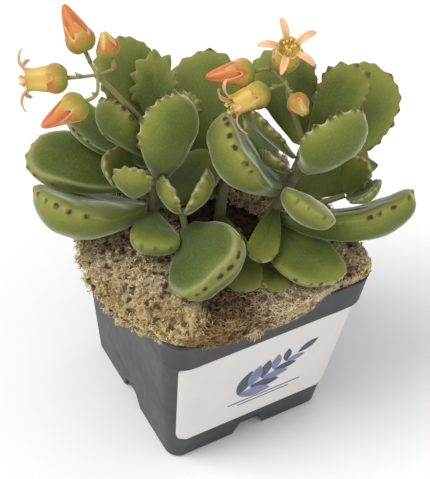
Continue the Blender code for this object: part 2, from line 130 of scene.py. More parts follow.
# Leaves whose rim grows otherwise than their size does.
OTHER_RIMS = {
    "leaf_left_cupped": "cupped",
    "leaf_right_cupped": "cupped",
    "leaf_left_narrow_a": "cupped",
    "leaf_left_back": "scalloped",
    "leaf_left_top_a": "frilled",
    "leaf_right_top_a": "scalloped",
}
# Painted sunlight and shade for single leaves: how far each one's green is lightened and yellowed as if lit, 0
# where it is painted as shaded.
LEAF_SUN_SHADE = {
    "leaf_right_round": 1.1,
    "leaf_left_lower_a": 0.9,
    "leaf_left_back": 0.7,
    "leaf_young_a": 0.8,
    "leaf_young_b": 0.8,
    "leaf_twig_left_b": 0.7,
    "leaf_twig_right_a": 0.8,
    "leaf_twig_right_b": 0.8,
    "leaf_front_broad": 0.0,
    "leaf_front_round": 0.0,
    "leaf_front_low": 0.0,
    "leaf_front_small": 0.0,
    "leaf_front_fat": 0.0,
    "leaf_left_narrow_a": 0.0,
    "leaf_centre_low": 0.0,
}
# A pair is its stem, height and azimuth, then the leaf that points there and the leaf opposite.
# Each leaf is its name, how far light and crowding swing it aside, elevation, roll, size and scale.
PAIRS = [
    ("stem_left", 92.5, 65, None, ("leaf_left_broad_b", -1, 7, -8, "oval", 0.73)),
    ("stem_left", 95, 165,
     ("leaf_left_lower_a", 12, 4, 22, "plump", 1.12), ("leaf_left_lower_b", 5, 38, 0, "round", 0.75)),
    ("stem_left", 106, 110, ("leaf_left_broad_a", 32, 3, 0, "thick", 1.02), None),
    ("stem_left", 112, 115,
     ("leaf_left_narrow_a", 5, 10, 10, "slim", 1.05), ("leaf_left_cupped", -5, 70, 0, "plump", 0.9)),
    ("stem_left", 119, 200,
     ("leaf_left_upper_a", -45, 40, 45, "plump", 0.68), ("leaf_left_top_b", 2, 47, 18, "slim", 0.65)),
    ("stem_left", 123, 95, ("leaf_left_back", -5, 30, 10, "broad", 0.85), None),
    ("stem_left", 127, 60, ("leaf_left_top_a", 8, 42, -5, "slim", 0.75), None),
    ("stem_right", 86, 70, None, ("leaf_front_low", 0, 0, 0, "tongue", 0.85)),
    ("stem_right", 95, 130, None, ("leaf_right_low", 3, -9, -35, "finger", 0.98)),
    ("stem_right", 91, 80, None, ("leaf_front_broad", 15, 0, -10, "round", 0.95)),
    ("stem_right", 98, 50, None, ("leaf_front_round", -4, 0, 0, "tongue", 0.8)),
    ("stem_right", 102, 355, ("leaf_right_slim", 15, -2, 10, "slim", 1.15), None),
    ("stem_right", 107, 350, None, ("leaf_right_wide", -5, 36, 0, "plump", 1.03)),
    ("stem_right", 107, 75,
     ("leaf_right_inner", 20, 25, 30, "slim", 0.8), ("leaf_right_oval", 0, 18, -35, "oval", 0.82)),
    ("stem_right", 118, 85, None, ("leaf_right_cupped", 20, 50, -15, "plump", 0.87)),
    ("stem_right", 115, 5,
     ("leaf_right_round", 10, 25, 25, "broad", 1.0), ("leaf_right_bract", -20, 32, 30, "young", 0.8)),
    ("stem_right", 121, 160, ("leaf_right_upper_a", -10, 45, 35, "slim", 0.75), None),
    ("stem_right", 126, 75, ("leaf_right_top_a", 5, 30, -25, "broad", 0.78), None),
    ("stem_right", 127, 35, ("leaf_right_top_b", -15, 45, 30, "slim", 0.88), None),
    ("stem_centre", 88, 75, None, ("leaf_front_small", 0, 0, 0, "tongue", 1.1)),
    ("stem_centre", 97, 110, ("leaf_centre_low", 0, 10, -15, "round", 0.85), None),
    ("stem_centre", 101, 75, ("leaf_centre_back", 0, 35, -25, "broad", 1.05), None),
    ("stem_front", 94, 70, None, ("leaf_front_fat", 12, 14, 38, "fat", 1.0)),
    ("stem_front", 102, 135,
     ("leaf_young_a", 45, 60, 0, "young", 0.95), ("leaf_young_b", -5, 60, 0, "young", 1.15)),
    ("twig_left", 108.5, 130,
     ("leaf_twig_left_a", -10, 45, 0, "young", 1.0), ("leaf_twig_left_b", -80, 62, 0, "young", 0.95)),
    ("twig_right", 103.8, 45,
     ("leaf_twig_right_a", -27, 56, 0, "young", 0.87), ("leaf_twig_right_b", 77, 32, 0, "young", 0.84)),
]

# A flower head is its kind, the centre of its ball, and the azimuth and elevation of its axis.
HEADS = {
    "flower_left": ("open", (-54, 30, 155), 155, -5),
    "bud_left_upper": ("bud", (-41.5, 36.5, 163), 105, 50),
    "bud_left_small": ("small", (-34, 30, 162), 100, 60),
    "bud_left_lower": ("bud", (-51, 21, 148), 170, -28),
    "bud_right": ("bud", (10, 12, 150), 160, -5),
    "flower_right": ("open", (12, 4, 145), 175, -15),
    "flower_top": ("open", (25.5, 8, 154.5), -120, 60),
    "bud_right_small": ("small", (24, -5, 144), -90, -10),
}
# A stalk is its foot, its fork, and the heads that its branches carry.
STALKS = {
    "stalk_left": ((-20, 17, 128), (-40, 26, 155),
                   ("flower_left", "bud_left_upper", "bud_left_small", "bud_left_lower")),
    "stalk_right": ((27, -8, 128.5), (24, 4, 146),
                    ("bud_right", "flower_right", "flower_top", "bud_right_small")),
}

# A clump of moss: first and last azimuth, inner radius, height, overhang and droop where it hangs furthest,
# the azimuth of that place, and the clump's habit.
MOSS = {
    "moss_left": (146, 236, 17, 7.5, 10.5, 8.0, 181, "fine"),
    "moss_front": (230, 296, 18, 3.5, 1.6, 1.8, 262, "loose"),
    "moss_right": (288, 404, 20, 5.0, 2.0, 1.5, 345, "coarse"),
    "moss_back": (398, 512, 22, 6.0, 2.5, 2.0, 455, "coarse"),
}
FRONT_PALE_FROM = 258  # azimuth from which the loose front moss turns pale
MOSS_HANG = 32.0  # how far round from there the overhang falls away, in degrees
# A habit: tufts, fork levels, steps in a branch, step, wander, fork spread, radius, and its range of tones.
HABITS = {
    "fine": (1300, 4, 1, 0.78, 0.30, 0.70, 0.195, 0.5, 1.2),
    "loose": (850, 3, 3, 1.15, 0.50, 0.80, 0.18, 0.0, 0.27),
    "coarse": (1150, 4, 1, 0.95, 0.35, 0.75, 0.28, 0.55, 1.15),
}


# ---------------------------------------------------------------- materials
class Paint:
    """A procedural material under construction, in object space, and the skin of colours laid on so far."""

    def __init__(self, name, roughness, specular):
        self.material = bpy.data.materials.new(name)
        self.material.use_nodes = True
        self.tree = self.material.node_tree
        self.shader = self.tree.nodes["Principled BSDF"]
        self.feed(self.shader, {"Roughness": roughness, "Specular IOR Level": specular})
        self.place = self.node("ShaderNodeTexCoord", {}, "Object")
        self.skin = None

    def feed(self, node, inputs):
        """Give a node's inputs numbers, colours or other nodes' outputs."""
        for name, value in inputs.items():
            socket = node.inputs[name]
            if isinstance(value, bpy.types.NodeSocket):
                self.tree.links.new(value, socket)
            elif socket.type == "RGBA":
                socket.default_value = (*value, 1.0)
            else:
                socket.default_value = value

    def node(self, kind, inputs, output, **settings):
        """Add a node with its settings and inputs, and return one of its outputs."""
        node = self.tree.nodes.new(kind)
        for name, value in settings.items():
            setattr(node, name, value)
        self.feed(node, inputs)
        return node.outputs[output]

    def noise(self, scale, detail, rough=0.5):
        """Return a noise value."""
        inputs = {"Vector": self.place, "Scale": scale, "Detail": detail, "Roughness": rough}
        return self.node("ShaderNodeTexNoise", inputs, "Fac")

    def mottle(self, scale, detail, low, high, rough=0.5):
        """Return noise, stretched so that low becomes 0 and high becomes 1."""
        return self.spread(self.noise(scale, detail, rough), low, high)

    def holes(self, scale, low, high):
        """Return 1 in the middle of each cell of a sponge and 0 on its walls."""
        bend = self.node("ShaderNodeTexNoise", {"Vector": self.place, "Scale": scale * 1.3}, "Color")
        inputs = {0: bend, 1: (0.6 / scale,) * 3, 2: self.place}
        warp = self.node("ShaderNodeVectorMath", inputs, "Vector", operation="MULTIPLY_ADD")
        cells = self.node("ShaderNodeTexVoronoi", {"Vector": warp, "Scale": scale}, "Distance")
        return self.spread(cells, high, low)

    def mark(self, name):
        """Return a value painted on the mesh's points."""
        return self.node("ShaderNodeAttribute", {}, "Fac", attribute_name=name)

    def spread(self, value, low, high):
        """Stretch a value so that low becomes 0 and high becomes 1."""
        return self.node("ShaderNodeMapRange", {"Value": value, "From Min": low, "From Max": high}, "Result")

    def times(self, value, factor):
        """Multiply a value by a number or by another value."""
        return self.node("ShaderNodeMath", {0: value, 1: factor}, "Value", operation="MULTIPLY")

    def mix(self, factor, first, second):
        """Blend two colours, each a colour or an output."""
        return self.node("ShaderNodeMix", {0: factor, 6: first, 7: second}, 2, data_type="RGBA")

    def coat(self, mask, colour, share=1.0):
        """Lay a colour over the skin where the mask is 1."""
        if share < 1:
            mask = self.times(mask, share)
        self.skin = self.mix(mask, self.skin, colour)

    def gloss(self, value, low, high):
        """Let the roughness run between two values."""
        inputs = {"Value": value, "To Min": low, "To Max": high}
        self.feed(self.shader, {"Roughness": self.node("ShaderNodeMapRange", inputs, "Result")})

    def finish(self, grain, sheen=None):
        """Use the skin and return the material.

        The grain is its noise's scale and detail, its depth in millimetres, its strength and, where it isn't
        plain, the noise's roughness. The sheen, a soft glow of fine hairs, is its weight, roughness and tint.
        """
        scale, detail, depth, strength, *rough = grain
        inputs = {"Height": self.noise(scale, detail, *rough), "Distance": depth * MM, "Strength": strength}
        normal = self.node("ShaderNodeBump", inputs, "Normal")
        self.feed(self.shader, {"Base Color": self.skin, "Normal": normal})
        if sheen:
            self.feed(self.shader, dict(zip(("Sheen Weight", "Sheen Roughness", "Sheen Tint"), sheen)))
        return self.material


def leaf_material():
    """Furry green skin with painted shade and sunlight, a whitish rim with painted sheen, yellow round the teeth
    and dark red-brown on them.
    """
    paint = Paint("leaf_skin", 0.6, 0.25)
    patches = paint.mottle(70, 3, 0.3, 0.7)
    # Painted shade and light: a deep shaded green on the inner face towards its hollow, and a brighter lit green
    # elsewhere.
    deep = paint.mix(patches, (0.046, 0.074, 0.009), (0.084, 0.118, 0.018))
    bright = paint.mix(patches, (0.072, 0.106, 0.012), (0.132, 0.168, 0.022))
    paint.skin = paint.mix(paint.mark("outer"), deep, bright)
    # Painted sunlight: a lighter, yellower green where a leaf is painted as lit; the same mark also carries each
    # leaf's random tone.
    paint.coat(paint.mark("tint"), (0.185, 0.205, 0.038), 0.6)
    paint.coat(paint.mark("apex"), (0.330, 0.330, 0.060), 0.55)
    fuzz = paint.mottle(1300, 2, 0.45, 0.75)
    paint.coat(fuzz, (0.40, 0.45, 0.22), 0.12)
    # Whitish hairs along the rim, with a painted sheen of fuzz catching the light along the outline.
    paint.coat(paint.mark("edge"), (0.50, 0.54, 0.34))
    ragged = paint.mottle(520, 3, 0.25, 0.5)
    paint.coat(paint.times(paint.mark("tooth"), ragged), (0.070, 0.018, 0.013))
    return paint.finish((1100, 4, 0.15, 0.6), (1.0, 0.30, (0.93, 1.0, 0.76)))


def stem_material(name, low, high, spots):
    """Bark or stalk skin that runs from one colour at its foot to another at its top."""
    paint = Paint(name, 0.7, 0.3)
    paint.skin = paint.mix(paint.mark("along"), low, high)
    paint.coat(paint.mottle(220, 4, 0.45, 0.7), spots, 0.6)
    fuzz = paint.mottle(1500, 2, 0.5, 0.8)
    paint.coat(fuzz, (0.50, 0.52, 0.36), 0.3)
    return paint.finish((600, 5, 0.25, 0.6), (0.3, 0.4, (0.85, 0.9, 0.7)))


def calyx_material():
    """Yellow-green cup that flushes orange and red towards its pointed sepals, which have pale edges."""
    paint = Paint("calyx_skin", 0.5, 0.35)
    along = paint.mark("along")
    paint.skin = paint.mix(paint.spread(along, 0.15, 0.75), (0.29, 0.31, 0.030), (0.56, 0.38, 0.07))
    flush = paint.times(paint.mottle(150, 3, 0.40, 0.60), paint.spread(along, 0.0, 0.7))
    paint.coat(flush, (0.50, 0.12, 0.035))
    paint.coat(paint.mark("edge"), (0.74, 0.62, 0.28), 0.6)
    fuzz = paint.mottle(1600, 2, 0.5, 0.8)
    paint.coat(fuzz, (0.70, 0.68, 0.40), 0.15)
    return paint.finish((800, 3, 0.12, 0.5), (0.25, 0.4, (1.0, 0.9, 0.7)))


def petal_material(name, body, streak, tip):
    """Waxy petals with streaks along them and another colour at their tips."""
    paint = Paint(name, 0.42, 0.4)
    lines = paint.times(paint.mark("streak"), paint.mottle(300, 3, 0.2, 0.7))
    paint.skin = paint.mix(lines, body, streak)
    paint.coat(paint.mark("along"), tip)
    paint.feed(paint.shader, {"Subsurface Weight": 0.08, "Subsurface Radius": (0.002, 0.001, 0.0005)})
    return paint.finish((700, 3, 0.1, 0.4), (0.08, 0.4, (1.0, 0.85, 0.7)))


def stamen_material():
    """Yellow, dusty filaments and anthers."""
    paint = Paint("stamen_skin", 0.6, 0.3)
    paint.skin = paint.mix(paint.noise(900, 3), (0.62, 0.50, 0.10), (0.85, 0.74, 0.22))
    return paint.finish((1500, 3, 0.1, 0.5))


def moss_material():
    """Dry lichen, straw and cream at the tips and each patch a little different, with painted shade in dark brown
    towards its body and in its pits.
    """
    paint = Paint("moss_strands", 0.85, 0.15)
    tone = paint.mark("tone")
    tip = paint.mark("tip")
    dark = paint.mix(tone, (0.045, 0.025, 0.014), (0.260, 0.180, 0.095))
    straw = paint.mix(tone, (0.290, 0.175, 0.088), (1.000, 0.850, 0.580))
    golden = paint.mix(tone, (0.470, 0.280, 0.085), (1.000, 0.810, 0.400))
    pale = paint.mix(paint.mark("gold"), straw, golden)
    # Painted shade: dark brown towards the body of a clump and the strands' feet, pale towards their tips.
    paint.skin = paint.mix(paint.spread(tip, 0.0, 0.8), dark, pale)
    # Painted shade in dark pits and specks deep inside the clump.
    inside = paint.spread(tip, 1.25, 0.3)
    pits = paint.times(paint.holes(290, 0.30, 0.46), inside)
    paint.coat(pits, (0.045, 0.024, 0.013), 0.9)
    specks = paint.times(paint.mottle(1100, 3, 0.45, 0.62), inside)
    paint.coat(specks, dark, 0.65)
    return paint.finish((1600, 4, 0.35, 0.8))


def soil_material():
    """Dark crumbly potting mix with pale chips."""
    paint = Paint("soil_crumbs", 0.95, 0.1)
    crumbs = paint.mottle(420, 5, 0.35, 0.7, rough=0.7)
    paint.skin = paint.mix(crumbs, (0.022, 0.014, 0.009), (0.105, 0.068, 0.042))
    chips = paint.mottle(260, 2, 0.66, 0.72)
    paint.coat(chips, (0.24, 0.17, 0.11))
    return paint.finish((500, 6, 1.0, 1.0, 0.7))


def pot_material():
    """Dark grey moulded plastic, finely grained, a little scuffed and dusty."""
    paint = Paint("pot_plastic", 0.42, 0.5)
    scuffs = paint.mottle(45, 6, 0.5, 0.75, rough=0.65)
    paint.skin = paint.mix(scuffs, (0.019, 0.019, 0.023), (0.033, 0.033, 0.039))
    dust = paint.mottle(1300, 3, 0.62, 0.75)
    paint.coat(dust, (0.20, 0.19, 0.18), 0.15)
    paint.gloss(paint.noise(160, 5, 0.6), 0.34, 0.58)
    return paint.finish((1800, 3, 0.04, 0.35))


def label_material():
    """Off-white satin label film with a faint paper grain."""
    paint = Paint("label_film", 0.45, 0.4)
    shade = paint.mottle(60, 5, 0.35, 0.7, rough=0.6)
    paint.skin = paint.mix(shade, (0.720, 0.708, 0.672), (0.755, 0.745, 0.710))
    specks = paint.mottle(1500, 2, 0.7, 0.78)
    paint.coat(specks, (0.52, 0.49, 0.44), 0.3)
    paint.gloss(paint.noise(300, 4), 0.38, 0.56)
    return paint.finish((900, 4, 0.03, 0.4))


def print_material(name, dark, light):
    """Ink with the slight mottle of a cheap print."""
    paint = Paint(name, 0.5, 0.3)
    paint.skin = paint.mix(paint.mottle(420, 4, 0.35, 0.65), dark, light)
    return paint.finish((900, 3, 0.02, 0.3))


# ---------------------------------------------------------------- meshes
def new_object(name, verts, faces, materials, marks=None, picks=None):
    """Make a smooth mesh object from points in millimetres, with values painted on its points."""
    mesh = bpy.data.meshes.new(name)
    mesh.from_pydata((np.asarray(verts, dtype=float) * MM).tolist(), [], faces)
    for material in materials:
        mesh.materials.append(material)
    if picks is not None:
        mesh.polygons.foreach_set("material_index", np.asarray(picks, dtype=np.int32))
    for mark, values in (marks or {}).items():
        layer = mesh.attributes.new(mark, "FLOAT", "POINT")
        layer.data.foreach_set("value", np.asarray(values, dtype=np.float32))
    mesh.shade_smooth()
    mesh.update()
    obj = bpy.data.objects.new(name, mesh)
    bpy.context.scene.collection.objects.link(obj)
    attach(obj, "root")
    return obj


class Pile:
    """Several surfaces that become one mesh."""

    def __init__(self, marks):
        self.verts = []
        self.faces = []
        self.picks = []
        self.marks = {mark: [] for mark in marks}
        self.count = 0

    def add(self, verts, faces, pick=0, **marks):
        """Add a surface; each mark is one number or one for each point."""
        verts = np.asarray(verts, dtype=float)
        self.verts.append(verts)
        self.faces.extend([tuple(self.count + i for i in face) for face in faces])
        self.picks.extend([pick] * len(faces))
        for mark, store in self.marks.items():
            store.append(np.broadcast_to(np.asarray(marks.get(mark, 0.0), dtype=float), (len(verts),)))
        self.count += len(verts)

    def build(self, name, materials):
        """Make the object."""
        marks = {mark: np.concatenate(store) for mark, store in self.marks.items()}
        return new_object(name, np.concatenate(self.verts), self.faces, materials, marks, self.picks)


def ring_faces(rings, sides, close_low=False, close_high=False):
    """Return the faces of a skin over rings of equal length, with a point after the rings for each closed end."""
    ring = np.arange(rings - 1)[:, None] * sides
    here = ring + np.arange(sides)
    ahead = ring + (np.arange(sides) + 1) % sides
    faces = np.stack([here, ahead, ahead + sides, here + sides], axis=-1).reshape(-1, 4).tolist()
    end = rings * sides
    if close_low:
        faces += [(end, (k + 1) % sides, k) for k in range(sides)]
        end += 1
    if close_high:
        last = (rings - 1) * sides
        faces += [(end, last + k, last + (k + 1) % sides) for k in range(sides)]
    return faces


def sheet_faces(rows, columns, close_ends):
    """Return the faces of a thin sheet: a grid of points for its front, another for its back, and its rim."""
    grid = np.arange(2 * rows * columns).reshape(2, rows, columns)
    quads = np.stack([grid[:, :-1, :-1], grid[:, :-1, 1:], grid[:, 1:, 1:], grid[:, 1:, :-1]], axis=-1)
    front, back = quads.reshape(2, -1, 4)
    faces = front.tolist() + back[:, ::-1].tolist()
    rims = [grid[:, :, -1], grid[:, ::-1, 0]]
    if close_ends:
        rims += [grid[:, 0], grid[:, -1, ::-1]]
    for front, back in rims:
        faces += np.stack([front[1:], front[:-1], back[:-1], back[1:]], axis=-1).tolist()
    return faces


def unit(vectors):
    """Scale vectors to length 1."""
    vectors = np.asarray(vectors, dtype=float)
    return vectors / np.maximum(np.linalg.norm(vectors, axis=-1, keepdims=True), 1e-9)


def smooth_path(points, steps):
    """Return a smooth curve through points."""
    points = np.asarray(points, dtype=float)
    ends = np.vstack([2 * points[0] - points[1], points, 2 * points[-1] - points[-2]])
    out = []
    for k in range(1, len(ends) - 2):
        p0, p1, p2, p3 = ends[k - 1:k + 3]
        for t in np.arange(steps) / steps:
            out.append(0.5 * (2 * p1 + (p2 - p0) * t + (2 * p0 - 5 * p1 + 4 * p2 - p3) * t ** 2
                              + (3 * p1 - p0 - 3 * p2 + p3) * t ** 3))
    out.append(points[-1])
    return np.array(out)


def full_turn(sides):
    """Return evenly spaced angles round a circle."""
    return np.linspace(0, 2 * math.pi, sides, endpoint=False)


def round_points(radius, turn, z):
    """Return the points at a radius, an angle and a height."""
    return np.stack(np.broadcast_arrays(radius * np.cos(turn), radius * np.sin(turn), z), axis=-1)


def tube(path, radii, sides):
    """Return the points and faces of a round tube along a path, closed at both ends."""
    path = np.asarray(path, dtype=float)
    radii = np.broadcast_to(np.asarray(radii, dtype=float), (len(path),))
    along = unit(np.gradient(path, axis=0))
    side = np.cross(along[0], (0.0, 0.0, 1.0))
    if np.linalg.norm(side) < 0.1:
        side = np.cross(along[0], (1.0, 0.0, 0.0))
    turn = full_turn(sides)[:, None]
    rings = []
    for point, forward, radius in zip(path, along, radii):
        side = unit(side - forward * np.dot(side, forward))
        up = np.cross(forward, side)
        rings.append(point + radius * (np.cos(turn) * side + np.sin(turn) * up))
    verts = np.vstack(rings + [path[:1], path[-1:]])
    return verts, ring_faces(len(path), sides, close_low=True, close_high=True)


def along_tube(rings, sides, low=0.0, high=1.0):
    """Return a value that runs from low to high over a tube's points."""
    return np.append(np.repeat(np.linspace(low, high, rings), sides), [low, high])


def superellipse(across, power):
    """Return the height of a unit superellipse at a distance across from its middle."""
    return np.maximum(0.0, 1 - np.asarray(across) ** power) ** (1 / power)


def direction(azimuth, elevation):
    """Return the unit vector at an azimuth and elevation in degrees."""
    a = math.radians(azimuth)
    e = math.radians(elevation)
    return np.array([math.cos(a) * math.cos(e), math.sin(a) * math.cos(e), math.sin(e)])


def lumpy(points, period, shift=0.0):
    """Return smooth noise at points, in lumps about as large as the period."""
    return np.array([noise.noise(Vector(point / period + (shift, 0, 0))) for point in points])


# ---------------------------------------------------------------- leaves
TURNS = 128  # points round a leaf's edge, closer together at its toothed end
# A face's rings from the rim inwards: the first by their height off the rim, the others by how far out they are.
RIM_STEPS = (0.05, 0.12, 0.22, 0.36, 0.52, 0.68, 0.82, 0.92)
FACE_STEPS = (0.45, 0.30, 0.15)
CREST_POWER = 4.0  # how flat the inner face is where teeth stand on its rim
TOOTH_SHIFT = 0.24  # how far a tooth may stand from its even place, as a share of the teeth's spacing
TOOTH_SIZES = (0.6, 1.15)
TOOTH_DEPTH = 1.15  # how far a narrow tooth reaches over the faces
WIDE_TOOTH_DEPTH = 1.5
WAVE = 0.02  # how far the edge waves in and out, as a share of the leaf's width
WOBBLE = 0.07  # how uneven the faces are, as a share of the thickness
RIM_LINE = 0.7  # how pale the line along most rims is: whitish hairs with a painted sheen
BANDED = ("fat", "thick")  # sizes with a pale band of whitish hairs and painted sheen on each face, and none along the rim
SHADED_INSIDE = ("plump", "thick", "fat", "finger")  # sizes whose inner face is painted in full shade
INSIDE_TONE = 0.7  # how lit the inner face of the others stays under its painted shade


def leaf_half_width(u, width):
    """Return a leaf's half width at a share u of its length: a narrow foot and a broad blunt end."""
    half = width / 2
    foot = PETIOLE_WIDTH * width
    low = foot + (half - foot) * np.sin(math.pi / 2 * np.minimum(u / WIDEST, 1)) ** BULGE
    high = half * superellipse(np.clip((u - WIDEST) / (1 - WIDEST), 0, 1), BLUNTNESS)
    return np.where(u < WIDEST, low, high)


def leaf_teeth(bearing, radius, count, half_width, around, rng):
    """Return how far each edge point is up a tooth, from 0 to 1."""
    pitch = 2 * around / (count - 1)
    width = math.degrees(1.5 * half_width / radius) if half_width else pitch * 0.55
    height = np.zeros_like(bearing)
    for k in range(count):
        centre = -around + k * pitch + rng.uniform(-TOOTH_SHIFT, TOOTH_SHIFT) * pitch
        size = rng.uniform(*TOOTH_SIZES)
        height = np.maximum(height, size * np.clip(1 - np.abs(bearing - centre) / width, 0, 1))
    return height


def leaf_rings(inner_power):
    """Return a leaf's rings from its inner face to its outer: side, how far out, and height off the rim."""
    inner = [(1, superellipse(z, inner_power), z) for z in RIM_STEPS]
    inner += [(1, s, superellipse(s, inner_power)) for s in FACE_STEPS]
    outer = [(-1, superellipse(z, OUTER_ROUND), z) for z in RIM_STEPS]
    outer += [(-1, s, superellipse(s, OUTER_ROUND)) for s in FACE_STEPS[1:]]
    return np.array(inner[::-1] + [(0, 1.0, 0.0)] + outer, dtype=float)


def leaf_line(size, rim_kind, side, s, z, u, from_rim):
    """Return how pale each point is, for whitish hairs and a painted sheen: a line along the rim, or a band on
    each face of a banded leaf.
    """
    line = RIM_LINES.get(rim_kind, RIM_LINE) * np.exp(-(from_rim / 0.45) ** 2)
    if size not in BANDED:
        return line
    past_foot = np.clip((u - 0.1) / 0.2, 0, 1)
    inner = 0.40 * np.exp(-((z - 0.62) / 0.10) ** 2) * (s > 0.6) * past_foot
    outer = 0.35 * np.exp(-((from_rim - 2.2) / 0.5) ** 2) * past_foot
    return np.where(side > 0, inner, np.where(side < 0, outer, line))


def leaf_surface(size, scale, seed, rim_kind):
    """Return a leaf's points, faces and painted values, along +X with its inner face up."""
    rng = np.random.default_rng(seed)
    *dimensions, curl = LEAF_SIZES[size]
    length, width, thickness = (value * scale for value in dimensions)
    rim_share, count, tooth_height, half_width, around, dish, lean, dark = LEAF_RIMS[rim_kind]

    t = np.linspace(-1, 1, TURNS, endpoint=False)
    turn = math.pi * (0.45 * t + 0.55 * t ** 3)
    u = 0.5 + 0.5 * np.cos(turn)
    spine = np.clip(u, FOOT_ROUND, WIDEST)
    edge_y = leaf_half_width(u, width) * np.where(u < FOOT_ROUND, np.sqrt(np.clip(u / FOOT_ROUND, 0, 1)), 1)
    edge_y = np.copysign(edge_y, np.sin(turn))
    bearing = np.degrees(np.arctan2(edge_y, length * (u - WIDEST)))
    teeth = leaf_teeth(bearing, 0.45 * width, count, half_width, around, rng)
    wave = WAVE * width * np.sin(np.radians(bearing) * 3 + rng.uniform(0, 6))
    tooth_depth = TOOTH_DEPTH if half_width and rim_kind != "broad" else WIDE_TOOTH_DEPTH
    grain = rng.uniform(0, 99)

    rings = leaf_rings(CREST_POWER if half_width else INNER_FLAT)
    side, s, z = (column[:, None] for column in rings.T)
    x = length * (spine + (u - spine) * s)
    local = thickness * (PETIOLE_THICK + (1 - PETIOLE_THICK) * np.minimum(1, x / length / WIDEST))
    inner = rim_share + (INNER_SHARE - rim_share) * z - dish * (1 - s ** 2)
    outer = rim_share - (rim_share + 1 - INNER_SHARE) * z
    height = local * np.where(side >= 0, inner, outer)
    from_rim = np.hypot((1 - s) * np.abs(edge_y) + (1 - s) * length * 0.2, height - local * rim_share)
    raised = teeth * np.exp(-(from_rim / tooth_depth) ** 2)
    out = tooth_height * raised + wave * s ** 4
    points = np.stack([x + np.cos(np.radians(bearing)) * out,
                       edge_y * s + np.sin(np.radians(bearing)) * out,
                       height + lean * tooth_height * raised], axis=-1)
    pole_x = length * (FOOT_ROUND + WIDEST) / 2
    pole_local = thickness * (PETIOLE_THICK + (1 - PETIOLE_THICK) * 0.55)
    poles = [(pole_x, 0, -pole_local * (1 - INNER_SHARE)), (pole_x, 0, pole_local * (INNER_SHARE - dish))]
    verts = np.vstack([points[::-1].reshape(-1, 3), poles])
    wobble = [noise.noise(Vector((px / 11 + grain, py / 8, pz / 9))) for px, py, pz in verts]
    verts[:, 2] += WOBBLE * thickness * np.array(wobble)

    tooth = dark * np.clip((raised - 0.30) / 0.20, 0, 1)
    apex = np.clip((u - 0.5) / 0.25, 0, 1) * np.exp(-(from_rim / 4.0) ** 2)
    edge = (1 - tooth) * leaf_line(size, rim_kind, side, s, z, u, from_rim)
    # Painted shade: the inner face darkens from its rim towards its hollow middle, fully on plump, thick, fat and
    # finger leaves; the rim and outer face are painted lit.
    inside = np.maximum(0.0 if size in SHADED_INSIDE else INSIDE_TONE, np.clip((0.80 - z) / 0.25, 0, 1))
    bright = np.broadcast_to(np.where(side > 0, inside, 1.0), edge.shape)
    marks = {"tooth": np.append(tooth[::-1], [0, 0]), "apex": np.append(apex[::-1], [0, 0]),
             "edge": np.append(edge[::-1], [0, 0]), "outer": np.append(bright[::-1], [1, 0]),
             "tint": np.full(len(verts), rng.uniform(0.1, 0.6))}
    if curl:
        radius = length / math.radians(curl)
        bent = verts[:, 0] / radius
        lift = radius - verts[:, 2]
        verts[:, 0] = lift * np.sin(bent)
        verts[:, 2] = radius - lift * np.cos(bent)
    return verts, ring_faces(len(rings), TURNS, close_low=True, close_high=True), marks


def point_on_stem(points, height):
    """Return the point of a stem's axis at a height."""
    points = np.asarray(points, dtype=float)
    return np.array([np.interp(height, points[:, 2], points[:, axis]) for axis in range(3)])


def make_leaves(material):
    """Model every leaf on its stem."""
    seed = 0
    for stem, height, azimuth, *leaves in PAIRS:
        points, diameter = STEMS[stem]
        for leaf, turn in zip(leaves, (0, 180)):
            if leaf is None:
                continue
            name, swing, elevation, roll, size, scale = leaf
            seed += 1
            verts, faces, marks = leaf_surface(size, scale, seed, OTHER_RIMS.get(name, size))
            # Some leaves take a set share of painted sunlight or painted shade in place of their random tone.
            if name in LEAF_SUN_SHADE:
                marks["tint"][:] = LEAF_SUN_SHADE[name]
            thickness = LEAF_SIZES[size][2] * scale
            reach = diameter / 2 - CLEARANCE
            reach += FOOT_LEAN * PETIOLE_THICK * thickness * math.sin(math.radians(max(0, elevation)))
            heading = azimuth + turn + swing
            foot = point_on_stem(points, height) + direction(heading, 0) * reach
            turned = (Matrix.Rotation(math.radians(heading), 3, "Z")
                      @ Matrix.Rotation(math.radians(-elevation), 3, "Y")
                      @ Matrix.Rotation(math.radians(roll), 3, "X"))
            verts = verts @ np.array(turned).T + foot
            piece = new_object("skin_" + name, verts, faces, [material], marks)
            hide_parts(name)


# ---------------------------------------------------------------- stems and stalks
STEM_SIDES = 16
STEM_KNOTS = 6
STALK_SIDES = 14
BRANCH_SIDES = 12
FORK_PLACE = 0.6  # how far along the stalk's colours the fork is
SEAT_DEPTH = 3.4  # how far behind the middle of a flower head its branch ends


def make_stems(bark):
    """Model the stems with nodes where leaves stood."""
    for name, (points, diameter) in STEMS.items():
        if name.startswith("stem"):
            points = [tuple(np.array(points[0], dtype=float) - (0, 0, 2))] + points[1:]
        path = smooth_path(points, 14)
        place = np.linspace(0, 1, len(path))
        knots = 1 + 0.09 * np.cos(place * math.pi * 2 * STEM_KNOTS) ** 8
        verts, faces = tube(path, diameter / 2 * knots * (1.06 - 0.16 * place), STEM_SIDES)
        piece = new_object("bark_" + name, verts, faces, [bark], {"along": along_tube(len(path), STEM_SIDES)})
        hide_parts(name)


def head_seat(head):
    """Return where a flower head's branch ends, and the head's axis."""
    _kind, centre, azimuth, elevation = HEADS[head]
    axis = direction(azimuth, elevation)
    return np.array(centre) - axis * SEAT_DEPTH, axis


